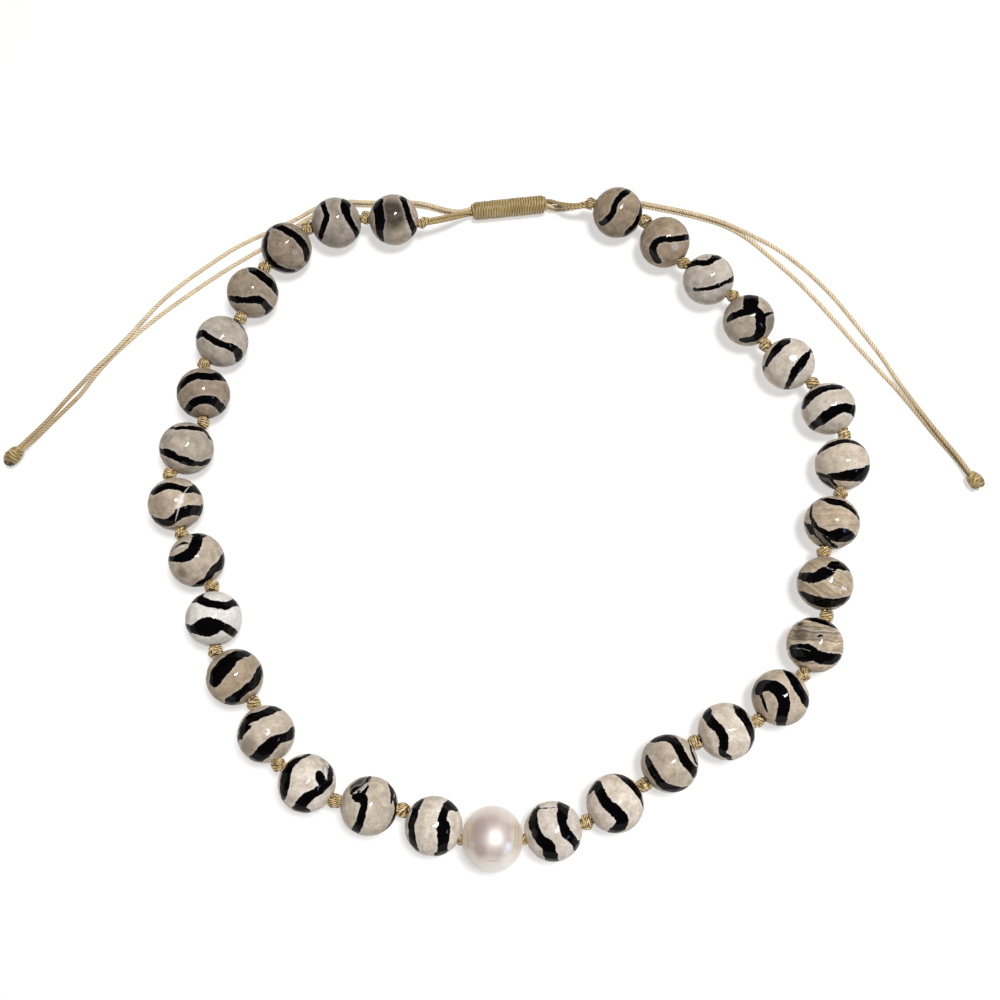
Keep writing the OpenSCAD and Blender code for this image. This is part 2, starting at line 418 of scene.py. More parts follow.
@dataclass(frozen=True)
class TwistedThread:
    """Twisted polyester thread, waxed and drawn tight.

    The colour paints shade into the grooves between the plies and a highlight along their
    crests, so the thread glitters gold where it is knotted and looks pale and dull where it is loose.
    """

    name: str
    groove_shade: str
    body: str
    crest_highlight: str
    roughness: float
    # dark colour that the thread is darkened to: char at cut ends, wax on the tails, painted shade on the
    # cores
    char_wax_and_shade_colour: str = "#3a2813"
    ply_mm: float = 0.3
    fibre_mm: float = 0.09
    patch_mm: float = 3.5
    relief_mm: float = 0.1
    # least and most light on a fibre, and on a patch of the thread
    fibre_light: tuple[float, float] = (0.72, 1.18)
    patch_light: tuple[float, float] = (0.88, 1.1)

    def material(self) -> Material:
        """Builds the material."""
        g = NodeGraph(bpy.data.materials.new(self.name))
        twist = g.add("ShaderNodeSeparateXYZ", {0: g.add("ShaderNodeUVMap", uv_map="twist").outputs[0]})
        crest_highlight = g.maths("SINE", g.maths("MULTIPLY", g.maths("FRACT", twist.outputs[0]), math.pi))
        # fibres run along the plies: fine across them and long along them
        fibre_at = g.add("ShaderNodeCombineXYZ", {
            0: g.maths("MULTIPLY", twist.outputs[0], self.ply_mm / self.fibre_mm),
            1: g.maths("MULTIPLY", twist.outputs[1], 0.9)}).outputs[0]
        fibres = g.noise(fibre_at, 1.0, 2.0)
        patches = g.noise(g.place(), self.patch_mm * MM, 2.0)
        # painted shade in the grooves between the plies, painted highlight along their crests
        shaded_ply = g.ramp(crest_highlight, (0.0, self.groove_shade), (1.0, self.crest_highlight), (0.45, self.body))
        light = g.maths("MULTIPLY", g.mapped(fibres, 0.3, 0.7, *self.fibre_light),
                        g.mapped(patches, 0.3, 0.7, *self.patch_light))
        # darkening by the mark: char, wax, and painted shade on the cores
        colour = g.mix(g.mark("char_wax_and_shade"), g.shade(shaded_ply, light), self.char_wax_and_shade_colour)
        relief = g.bump(g.maths("MULTIPLY_ADD", fibres, 0.3, crest_highlight), 0.9, self.relief_mm)
        return g.surface({"Base Color": colour, "Roughness": self.roughness, "Normal": relief,
                          "Sheen Weight": 0.25, "Sheen Roughness": 0.4, "IOR": 1.55})


@dataclass(frozen=True)
class BandedAgate:
    """Banded agate, cut to a faceted round and polished on a wheel.

    Cream to tan chalcedony with fine mottling and strata, black bands with ragged edges
    and a thin pale line beside them, under a glassy polish.
    """

    name: str = "banded_agate_polished"
    cream: tuple[str, str] = ("#b9a995", "#e8dccd")
    honey: tuple[str, str] = ("#93816a", "#c1ae94")
    tan: tuple[str, str] = ("#6b5d4b", "#9f8b76")
    white: str = "#ece7e2"
    smoke: str = "#484037"
    black: str = "#020102"
    mottle_mm: float = 1.7
    speck_mm: float = 0.45
    layers_a_mm: float = 2.2
    # how far a band's edge strays, over which length: wandering, and chipped
    strays: tuple[tuple[float, float], ...] = ((0.7, 1.5), (0.28, 0.42))

    def material(self) -> Material:
        """Builds the material. The bands come from each bead's own marks."""
        g = NodeGraph(bpy.data.materials.new(self.name))
        place = g.place()
        mottle = g.noise(place, self.mottle_mm * MM, 4.0, Roughness=0.6, Distortion=0.25)
        colour, honey, tan = (g.ramp(mottle, (0.26, dark), (0.68, light))
                              for dark, light in (self.cream, self.honey, self.tan))
        for start, deeper in ((0.0, honey), (0.5, tan)):
            colour = g.mix(g.mapped(g.mark("tone"), start, start + 0.5), colour, deeper)
        pale = g.maths("MAXIMUM", g.maths("MULTIPLY", g.mark("tone"), -1.0), 0.0)
        colour = g.mix(pale, colour, self.white)
        warmth = {"Saturation": g.mark("warmth"), "Color": colour}
        colour = g.add("ShaderNodeHueSaturation", warmth).outputs[0]
        # strata: thin layers, light and dark, where the stone shows them
        bent = g.maths("MULTIPLY_ADD", mottle, 1.3, g.mark("layers_mm"))
        layers = g.noise(bent, 1 / self.layers_a_mm, 3.0, layered=True, Roughness=0.6)
        layers = g.between(g.mark("strata"), 1.0, g.mapped(layers, 0.36, 0.64, 0.45, 1.4))
        specks = g.mapped(g.noise(place, self.speck_mm * MM, 3.0), 0.3, 0.7, 0.87, 1.09)
        colour = g.shade(colour, g.maths("MULTIPLY", specks, layers))
        cloud = g.maths("MULTIPLY", g.mark("cloud"), g.mapped(mottle, 0.3, 0.6, 0.6, 1.1), clamp=True)
        colour = g.mix(g.mark("haze"), g.mix(cloud, colour, self.smoke), self.white)
        # bands: the edge strays by two noises, with paler stone just outside it
        edge = g.mark("band_mm")
        for reach, size in self.strays:
            stray = g.maths("SUBTRACT", g.noise(place, size * MM, 2.0, Roughness=0.6), 0.5)
            edge = g.maths("MULTIPLY_ADD", stray, reach, edge)
        colour = g.mix(g.mapped(edge, 0.7, 0.2, 0.0, 0.16), colour, self.white)
        colour = g.mix(g.mapped(edge, 0.17, 0.07), colour, self.black)
        colour = g.mix(g.mapped(g.mark("vein_mm"), 0.1, 0.0, 0.0, 0.6), colour, self.white)
        # the polish is glassy where it faces the light and soaks it up towards the edge
        gloss = g.mapped(g.edge_on(), 0.12, 0.42, 0.42, 0.05)
        return g.surface({"Base Color": colour, "Roughness": 0.07, "IOR": 1.42, "Specular IOR Level": gloss})


@dataclass(frozen=True)
class Nacre:
    """Nacre of a cultured pearl, grown in thin layers.

    Soft white light under the surface, a cream body with a pinkish grey overtone that is
    darkened round the highlight as painted shade, pale blue patches that are painted
    highlights, paler patches of painted light, gold towards the drilled ends that is partly
    a painted reflection of the gold knots, a painted sheen towards the edge, and faint
    growth rings round the ends.
    """

    name: str = "pearl_nacre"
    body: tuple[str, str] = ("#c8b8ab", "#d9ccc0")
    # pinkish grey overtone, darkened round the highlight as painted shade
    pink: str = "#a78f88"
    # painted highlights
    blue: str = "#e6edf5"
    # painted light
    cream: str = "#f6eee4"
    # partly a painted reflection of the gold knots
    gold: str = "#d2b888"
    # painted sheen towards the edge
    rim: str = "#ebe1d6"
    line: str = "#a08a6c"
    cloud_mm: float = 5.0
    ring_mm: float = 0.55

    def material(self) -> Material:
        """Builds the material. The overtones come from the pearl's own marks."""
        g = NodeGraph(bpy.data.materials.new(self.name))
        cloudy, poles = g.noise(g.place(), self.cloud_mm * MM, 3.0), g.mark("pole")
        rings = g.maths("MULTIPLY_ADD", cloudy, 0.8, g.mark("ring_mm"))
        growth = g.noise(rings, self.ring_mm, 2.0, layered=True)
        colour = g.ramp(cloudy, (0.3, self.body[0]), (0.7, self.body[1]))
        colour = g.shade(colour, g.between(poles, 1.0, g.mapped(growth, 0.35, 0.65, 0.84, 1.04)))
        # pink: overtone with painted shade; cream: painted light; blue: painted highlights
        for name, tint in (("pink", self.pink), ("cream", self.cream), ("blue", self.blue)):
            colour = g.mix(g.mark(name), colour, tint)
        # gold at the ends, partly a painted reflection of the knots
        colour = g.mix(g.mapped(poles, 0.5, 1.0, 0.0, 0.55), colour, self.gold)
        # painted sheen: the layers are painted pale where they are seen on edge
        colour = g.mix(g.mapped(g.edge_on(), 0.3, 0.8, 0.0, 0.62), colour, self.rim)
        colour = g.mix(g.mapped(g.mark("arc_mm"), 0.14, 0.0, 0.0, 0.75), colour, self.line)
        return g.surface({
            "Base Color": colour, "Roughness": 0.52, "IOR": 2.7,
            "Normal": g.bump(g.maths("MULTIPLY", growth, poles), 0.35, 0.05),
            "Subsurface Weight": 0.15, "Subsurface Scale": 0.6 * MM,
            "Sheen Weight": 0.4, "Sheen Roughness": 0.4, "Sheen Tint": linear(self.rim),
            "Coat Weight": 1.0, "Coat Roughness": 0.38})


@dataclass(frozen=True)
class MattPaper:
    """White paper, uncoated and matt.

    It glows a little, so that it is as pale and even as the photo's ground.
    """

    name: str = "white_paper_matt"
    colour: str = "#acabaa"
    light: str = "#fffefc"
    glow: float = 0.59

    def material(self) -> Material:
        """Builds the material."""
        return NodeGraph(bpy.data.materials.new(self.name)).surface({
            "Base Color": linear(self.colour), "Roughness": 0.9, "Specular IOR Level": 0.1,
            "Emission Color": linear(self.light), "Emission Strength": self.glow})


# The string


@dataclass(frozen=True)
class StringPlan:
    """Where the pearl, beads and knots lie, worked out as in the part's source, in mm."""

    bead_d: float = 10.0
    pearl_d: float = 10.5
    hole_d: float = 2.0
    strand_d: float = 0.8
    side_gap: float = 0.06
    knot_d: float = 2.7
    knot_gap: float = 1.8
    pearl_knot_d: float = 2.0
    pearl_gap: float = 0.35
    pearl_at: tuple[float, float] = (-3.3, -60.4)
    slide_at: tuple[float, float] = (-0.2, 63.1)
    slide_turn: float = 6.5
    slide_d: float = 3.8
    slide_l: float = 15.6
    # direction of the cord at the last knots: this on the right, and its reverse on the left
    exit_turn: float = 12.0
    # direction of each hole, from the pearl outwards: (left side, right side)
    hole_turns: tuple[tuple[float, float], ...] = (
        (155, 15), (172, 31), (150, 38), (115, 18), (129, 43), (98, 64), (122, 88), (106, 70),
        (62, 81), (94, 116), (57, 138), (69, 118), (47, 142), (13, 129), (-6, 159))

    @property
    def beads_a_side(self) -> int:
        """Number of beads on each side of the pearl."""
        return len(self.hole_turns)

    def turn_of(self, side: Side, n: int) -> float:
        """Direction of bead n's hole."""
        return self.hole_turns[n - 1][side.value]

    def half_pitch_in(self, n: int) -> float:
        """From the knot before bead n to the bead's centre."""
        return (self.bead_d + (self.pearl_gap if n == 1 else self.knot_gap)) / 2

    def knot_at(self, side: Side, k: int) -> Array:
        """Place of knot k, counted from the pearl."""
        place = at_height(self.pearl_at, 0) + (self.pearl_d + self.pearl_gap) / 2 * along(side.turn)
        for n in range(1, k + 1):
            pitch = self.half_pitch_in(n) + (self.bead_d + self.knot_gap) / 2
            place = place + pitch * along(self.turn_of(side, n))
        return at_height(place, self.bead_d / 2 if k else (self.bead_d + self.pearl_d) / 4)

    def bead_at(self, side: Side, n: int) -> Array:
        """Centre of bead n."""
        step = self.half_pitch_in(n) * along(self.turn_of(side, n))
        return at_height(self.knot_at(side, n - 1) + step, self.bead_d / 2)

    def slide_face(self, end: int, lane: int) -> Array:
        """Where a cord end passes a face of the sliding knot."""
        return (at_height(self.slide_at, self.slide_d / 2) + end * self.slide_l / 2 * along(self.slide_turn)
                + lane * (self.strand_d + self.side_gap) / 2 * across(self.slide_turn))


# The tails


@dataclass(frozen=True)
class TailStrand:
    """One free strand of a tail, laid loosely on the surface, in mm."""

    name: str
    end: int
    level: int
    seat: float
    route: Line
    plan: StringPlan = StringPlan()

    def line(self, face: Array, knot_turn: float) -> Array:
        """The strand's centre line.

        Args:
            face: Middle of the end knot's face.
            knot_turn: Direction of the end knot.

        Returns:
            Points from the sliding knot to the end knot.
        """
        radius = self.plan.strand_d / 2
        twin = radius + self.plan.side_gap / 4
        start = self.plan.slide_face(self.end, -self.end) + self.level * twin * UP
        seat = math.radians(self.seat)
        finish = face + twin * (math.cos(seat) * across(knot_turn) + math.sin(seat) * UP)
        stations = np.array([start, *[(x, y, z + radius) for x, y, z in self.route], finish])
        line = smooth_line(stations, 0.25)
        line[:, 2] = np.maximum(line[:, 2], radius)
        return line


@dataclass(frozen=True)
class EndKnot:
    """The knot at the end of a tail: the two strands wound on themselves and cut, in mm."""

    name: str
    at: tuple[float, float]
    turn: float
    length: float
    cut_turn: float
    flat: bool
    char_depth: float
    # how golden the wax makes the last stretch of the strands
    wax: float
    diameter: float = 3.0
    strand: float = 0.62
    # the outline: shares of the length and of the radius
    profile: tuple[tuple[float, float], ...] = (
        (0, 0.6), (0.24, 0.86), (0.45, 0.98), (0.6, 1.0), (0.8, 0.9), (0.95, 0.62), (1, 0.3))
    # runs of thread: turns, first angle, shares of the length where it starts and
    # ends, how far it leans, and how far it is sunk
    windings: tuple[tuple[float, ...], ...] = (
        (5.2, 0.6, 0.1, 0.9, 0.05, 0.06), (0.4, 1.0, 0.05, 0.95, 0, -0.04), (0.4, 1.7, 0.05, 0.9, 0, -0.02))
    # fillings: shares of the length for the middle and the half length, and the radius
    cores: Line = ((0.54, 0.45, 1.12), (0.8, 0.2, 0.95))
    # how far the strands enter, as a share of the length, how far from the axis, and
    # how thick they are pressed
    neck_to: float = 0.45
    neck_offset: float = 0.4
    neck_d: float = 0.84
    # shares of the length where the cut end comes out, and for its own length
    cut_from: float = 0.72
    cut_length: float = 0.3
    cut_d: float = 1.15
    # how far from the cut the thread is charred, and over which length that fades
    charred_to: float = 0.5
    char_fade: float = 1.7

    @property
    def face(self) -> Array:
        """Middle of the face that the strands enter."""
        return at_height(self.at, self.diameter / 2) - self.length / 2 * along(self.turn)

    @property
    def cut(self) -> Array:
        """Root and tip of the cut end."""
        root = self.inside(self.cut_from)
        return np.array([root, root + self.cut_length * self.length * along(self.turn + self.cut_turn)])

    def inside(self, share: float) -> Array:
        """Place on the knot's axis, at a share of its length."""
        return self.face + share * self.length * along(self.turn)

    def wound(self, turns: float, first: float, start: float, finish: float, lean: float,
              sink: float) -> Array:
        """Line of one run of thread that winds along the knot, by a row of windings."""
        t = np.linspace(0, 1, 300)
        angle = first + FULL_TURN * turns * t
        place = start + (finish - start) * t + lean * np.sin(angle)
        radius = np.interp(place, *np.array(self.profile).T) * self.diameter / 2 - self.strand / 2 - sink
        radius = np.maximum(radius, 0.1)
        return even_steps(around(self.face, self.turn, place * self.length, radius, angle), 0.12)

    def build(self, thread: Material) -> Piece:
        """Winds the knot.

        Args:
            thread: What it is tied from.

        Returns:
            The piece.
        """
        knot = ThreadMesh()
        for winding in self.windings:
            line = self.wound(*winding)
            knot.tube(line, self.strand, sides=12, plies=2, pitch=4.0, char_wax_and_shade=self.charred(line))
        # the cores are darkened a little: painted shade under the windings
        for middle, half_length, radius in self.cores:
            knot.core(self.inside(middle), along(self.turn), half_length * self.length, radius)
        for lane in (-1, 1):
            offset = lane * self.neck_offset * (across(self.turn) if self.flat else UP)
            neck = np.array([self.face + offset, self.inside(self.neck_to) + 0.6 * offset])
            knot.tube(even_steps(neck, 0.15), self.neck_d, sides=12, pitch=2.4)
        # the cut end, melted so that it doesn't fray
        cut = even_steps(self.cut, 0.12)
        knot.tube(cut, self.cut_d, sides=12, plies=2, pitch=4.0, char_wax_and_shade=self.charred(cut))
        return settle(knot.piece(f"{self.name}_turns", thread), Slot.CORD, self.name)

    def charred(self, line: Array) -> Array:
        """How charred the thread is along a line: most at the cut end."""
        away = np.linalg.norm(line - self.cut[1], axis=1)
        return self.char_depth * fading(away, self.charred_to, self.char_fade) ** 1.3


@dataclass(frozen=True)
class Tails:
    """Both tails, each of two strands and its end knot."""

    strands: tuple[TailStrand, ...]
    knots: tuple[EndKnot, ...]
    # up to which distance the wax is full, and over which length it fades
    wax_at_knot: tuple[float, float] = (10.0, 18.0)
    wax_at_slide: tuple[float, float] = (35.0, 20.0)
    slide_wax: float = 0.14

    def build(self) -> None:
        """Lays all strands."""
        # first colour of each thread: painted shade of its grooves; third: painted highlight of its crests
        pale = TwistedThread("tail_thread_twisted", "#c3a87c", "#d8c199", "#ead8b6", 0.45,
                             char_wax_and_shade_colour="#8c6a22").material()
        tied = TwistedThread("end_knot_thread_tied", "#7d6536", "#a3874f", "#bfa973", 0.42).material()
        turns = {knot.name: knot.build(tied) for knot in self.knots}
        for strand in self.strands:
            knot = self.knots[0] if strand.end < 0 else self.knots[1]
            line = strand.line(knot.face, knot.turn)
            run, mesh = run_of(line), ThreadMesh()
            # wax gathers by the end knot, and a little of it by the sliding knot
            wax = (knot.wax * fading(run[-1] - run, *self.wax_at_knot)
                   + self.slide_wax * fading(run, *self.wax_at_slide))
            mesh.tube(line, strand.plan.strand_d, sides=12, pitch=1.9, lobe=0.04, char_wax_and_shade=wax)
            piece = settle(mesh.piece(f"{strand.name}_thread", pale), Slot.CORD, strand.name)
            LOG.info("%s: %.1f mm of strand", strand.name, run[-1])


def necklace_tails() -> Tails:
    """The tails with the routes of the part's source: (x, y, height of the underside)."""
    return Tails(
        strands=(
            TailStrand("left_tail_outer", -1, 1, 180, (
                (-10.5, 62.4, 1.3), (-13, 63, 0.9), (-17.5, 64.4, 0.8), (-29, 64.8, 0.8),
                (-36, 64.8, 0.8), (-40, 63.8, 0.3), (-44, 61.5, 0), (-50, 58.3, 0), (-56, 55, 0),
                (-62, 50.5, 0), (-67, 46.3, 0), (-71, 42.2, 0), (-74, 38, 0.4), (-76, 35, 0.75),
                (-78, 32.4, 0.9), (-80, 30, 0.9), (-82, 27.8, 0.85), (-84.5, 25.1, 0.35),
                (-87, 22.2, 0), (-90, 18.1, 0), (-93.4, 13.8, 0.3))),
            TailStrand("left_tail_inner", -1, -1, 0, (
                (-10.5, 62.3, 0.4), (-13, 62.9, 0), (-17.5, 64.2, 0), (-29, 64.6, 0),
                (-36, 64.4, 0), (-41, 61.9, 0), (-49, 55.9, 0), (-58, 49.7, 0), (-65, 44.3, 0),
                (-73, 37.4, 0), (-76, 34.4, 0), (-80, 29.9, 0), (-82.3, 26.7, 0), (-85, 22.4, 0),
                (-87.5, 19.4, 0), (-91, 15.3, 0), (-92.8, 13, 0.3))),
            TailStrand("right_tail_outer", 1, 1, 90, (
                (8.8, 63.4, 1.5), (11.5, 63.7, 0.85), (17.5, 65, 0.85), (24, 65.2, 0.8),
                (31, 63.9, 0.8), (38, 62.2, 0.8), (44, 60.2, 0.8), (49, 57.7, 0.7), (54, 55.2, 0),
                (59, 51.1, 0), (65, 44.5, 0), (70, 37.2, 0), (75, 29, 0), (77, 24.7, 0.45),
                (79.7, 19.9, 0.75), (83.4, 14, 0.85), (86.9, 8.7, 1))),
            TailStrand("right_tail_inner", 1, -1, -90, (
                (8.8, 63.3, 0.6), (11.3, 63.6, 0), (17.5, 64.8, 0), (24, 65, 0), (31, 63.7, 0),
                (38, 62, 0), (44, 60, 0), (49, 56.9, 0), (53.5, 52.6, 0), (59, 46.8, 0),
                (65, 39.1, 0), (70, 32.2, 0), (74, 26.9, 0), (76.2, 24.1, 0), (79.3, 19.6, 0),
                (83.1, 13.9, 0), (86.8, 8.6, 0.1)))),
        knots=(EndKnot("left_end_knot", (-95.8, 9.6), 232, 4.2, 24, True, 1.0, 0.6),
               EndKnot("right_end_knot", (89.1, 4.7), -54, 3.4, 42, False, 0.75, 0.45)))


# Cord and its knots


@dataclass(frozen=True)
class KnottedCord:
    """The doubled cord through the beads, with its knots, and its free ends, in mm."""

    plan: StringPlan = StringPlan()
    seed: int = 7
    # thread of a knot, as a share of the knot's diameter
    thread: float = 0.128
    wraps: float = 7.2
    passes: int = 5
    right_handed: float = 0.7
    # how much of the half length the turns take, how much the passes take, and how far
    # each pass lies beyond the one before it
    turns_reach: float = 0.8
    passes_reach: float = 0.95
    stagger: float = 0.1
    # how far a pass rises over the turns, as a share of the thread
    pass_rise: float = 0.55
    # how much the knot narrows towards its ends, and how far it lies inside its diameter
    taper: float = 0.4
    sunk: float = 0.08
    # least and most: how far a turn stands out, how far the turns lean, and how far
    # the passes wind round the knot
    slack: tuple[float, float] = (-0.08, 0.06)
    lean: tuple[float, float] = (0.3, 0.5)
    span: tuple[float, float] = (1.4, 2.2)
    # least and most: a knot's diameter as a share of the plan's, and its half length
    swell: tuple[float, float] = (0.95, 1.03)
    half_length: tuple[float, float] = (0.98, 1.1)
    pearl_half_length: float = 0.42
    strand_in_hole: float = 0.68
    free_strand: float = 0.74
    # how far its axis lies from the cord's, where the two strands run free
    free_offset: float = 0.36
    # how high each free end arches: left, right
    arch: tuple[float, float] = (0.3, 1.0)
    # how straight a free end leaves the sliding knot, and enters the last knot
    straight: tuple[float, float] = (1.8, 3.5)
    # how far before the middle of the last knot a free end enters it
    mouth: float = 1.1
    # how far the two free strands roll, in radians, and over which length
    roll: float = 1.3
    roll_length: float = 6.0

    def knot(self, mesh: ThreadMesh, place: Array, turn: float, diameter: float,
             half_length: float, rng: np.random.Generator) -> None:
        """Ties one overhand knot: turns of thread with a few passes crossing over them.

        Args:
            mesh: Where the thread goes.
            place: Centre of the knot.
            turn: Direction of the cord there.
            diameter: Across the knot.
            half_length: Half of its length along the cord.
            rng: Source of its slight differences.
        """
        thread = self.thread * diameter
        hand = 1 if rng.random() < self.right_handed else -1
        roll = rng.uniform(0, FULL_TURN)
        lean = rng.uniform(*self.lean) * half_length
        t = np.linspace(0, 1, 260)
        angle = roll + hand * FULL_TURN * self.wraps * t
        slack = uneven(2 * self.wraps * t, self.slack, rng)
        reach = self.turns_reach * half_length * (2 * t - 1 + slack) + lean * np.sin(angle - roll)
        runs = [(reach, slack, angle)]
        first, span = rng.uniform(0, FULL_TURN), rng.uniform(*self.span)
        t = np.linspace(0, 1, 40)
        for lane in range(self.passes):
            runs.append((half_length * (self.passes_reach * (2 * t - 1) + self.stagger * lane),
                         self.pass_rise * thread * np.sin(math.pi * t) ** 0.5,
                         first + lane * thread / (0.5 * diameter) - hand * span * t))
        for reach, rise, angle in runs:
            belly = np.sqrt(np.clip(1 - self.taper * (reach / half_length) ** 2, 0.2, 1))
            radius = (diameter / 2 - self.sunk) * belly - thread / 2 + rise
            mesh.tube(even_steps(around(place, turn, reach, radius, angle), 0.15), thread,
                      sides=7, plies=2, pitch=2.4, hand=hand)
        # a dark core under the turns: painted shade in the gaps between the threads
        mesh.core(place, along(turn), 0.95 * half_length, diameter / 2 - 1.1 * thread,
                  rows=6, sides=10, char_wax_and_shade=0.9)

    def build(self, gold: Material, tan: Material) -> None:
        """Ties all knots and runs the two strands through every hole.

        Args:
            gold: Thread of the knots.
            tan: Thread of the free ends.
        """
        plan, rng = self.plan, np.random.default_rng(self.seed)
        strands, ends = ThreadMesh(), ThreadMesh()
        for side in Side:
            knots = ThreadMesh()
            turns = [side.turn, *(row[side.value] for row in plan.hole_turns)]
            for k, (inner, outer) in enumerate(zip(turns, [*turns[1:], turns[-1]])):
                place = plan.knot_at(side, k)
                turn = inner + ((outer - inner + 180) % 360 - 180) / 2
                size = (plan.pearl_knot_d, self.pearl_half_length)
                if k:
                    size = (plan.knot_d * rng.uniform(*self.swell), rng.uniform(*self.half_length))
                    self.threads(strands, plan.knot_at(side, k - 1), place)
                self.knot(knots, place, turn, *size, rng)
            settle(knots.piece(f"{side.name.lower()}_string_knots", gold), Slot.CORD, "knotted_cord")
            self.free_end(ends, side)
        self.threads(strands, plan.knot_at(Side.LEFT, 0), plan.knot_at(Side.RIGHT, 0))
        settle(strands.piece("string_strands", gold), Slot.CORD, "knotted_cord")
        settle(ends.piece("string_ends", tan), Slot.CORD, "knotted_cord")

    def threads(self, mesh: ThreadMesh, start: Array, finish: Array) -> None:
        """Runs the two strands straight through a hole."""
        side = self.strand_in_hole / 2 * unit(np.cross(finish - start, UP))
        for offset in (side, -side):
            mesh.tube(even_steps(np.array([start + offset, finish + offset]), 0.6), self.strand_in_hole)

    def free_end(self, mesh: ThreadMesh, side: Side) -> None:
        """Runs both strands of one end from its last knot through the sliding knot."""
        plan, end = self.plan, 2 * side.value - 1
        knot, face = plan.knot_at(side, plan.beads_a_side), plan.slide_face(end, end)
        out, arch = along(plan.exit_turn + side.turn), self.arch[side.value] * UP
        mouth = knot - self.mouth * out
        leaving, entering = self.straight
        stretch = bezier(np.linspace(0, 1, 30)[:, None], face,
                         face + leaving * along(plan.slide_turn + side.turn) + arch,
                         mouth - entering * out - arch, mouth)
        line = even_steps(np.vstack([plan.slide_face(-end, end), stretch, knot]), 0.2)
        tangents = unit(np.gradient(line, axis=0))
        sideways = unit(np.cross(UP, tangents))
        upwards = np.cross(tangents, sideways)
        # one strand over the other in the sliding knot, and rolled nearly side by side beyond it
        rolled = 1 - fading(run_of(line), plan.slide_l, self.roll_length)
        roll = math.pi / 2 + self.roll * rolled[:, None]
        for half in (0, math.pi):
            offset = np.cos(roll + half) * sideways + np.sin(roll + half) * upwards
            mesh.tube(line + self.free_offset * offset, self.free_strand, sides=12, pitch=2.2, lobe=0.1)


@dataclass(frozen=True)
class SlidingKnot:
    """The wound barrel that both cord ends run through, in mm."""

    plan: StringPlan = StringPlan()
    seed: int = 11
    turns: float = 28.5
    thread: float = 0.56
    # least and most that a turn stands out
    slack: tuple[float, float] = (-0.05, 0.04)
    # how far a turn leans
    lean: float = 0.1
    # how far the barrel narrows at each end, and over which length
    narrows: float = 0.55
    shoulder: float = 1.3

    def build(self, tan: Material) -> None:
        """Winds the barrel.

        Args:
            tan: Its thread.
        """
        plan, rng, mesh = self.plan, np.random.default_rng(self.seed), ThreadMesh()
        start, radius = plan.slide_face(-1, 0), plan.slide_d / 2
        t = np.linspace(0, 1, 2400)
        place = self.thread / 2 + (plan.slide_l - self.thread) * t
        slack = uneven(t * self.turns, self.slack, rng)
        to_end = np.minimum(place, plan.slide_l - place)
        wound = radius - self.thread / 2 + slack - self.narrows * fading(to_end, 0, self.shoulder) ** 1.6
        angle = FULL_TURN * self.turns * t
        line = around(start, plan.slide_turn, place + self.lean * np.sin(angle), wound, angle)
        mesh.tube(even_steps(line, 0.17), self.thread, sides=10, plies=2, pitch=5.0)
        # a plain core, so that no gap shows between the turns, darkened as painted shade between them
        core = start + np.linspace(0.5, plan.slide_l - 0.5, 5)[:, None] * along(plan.slide_turn)
        mesh.tube(core, 2 * (radius - self.thread), sides=20, char_wax_and_shade=0.3)
        settle(mesh.piece("sliding_knot_windings", tan), Slot.CORD, "sliding_knot")


# The beads


@dataclass(frozen=True)
class Markings:
    """The markings of one stone, charted as the camera sees the bead.

    Places are (right, up) from the bead's middle. They and all widths and radii are in
    hundredths of the bead's radius, and the depths of patches are in hundredths too.
    """

    # black bands
    bands: tuple[Line, ...]
    # -1 white, 0 cream, 1 tan
    tone: float = 0.2
    # 0 grey, 1 as warm as this agate mostly is
    warmth: float = 1.0
    # pale veins
    veins: tuple[Line, ...] = ()
    # smoky patches, and pale ones
    clouds: Patches = ()
    haze: Patches = ()
    # how clearly layers show, and which way they are stacked, in degrees from right
    strata: float = 0.06
    stack: float = 90.0


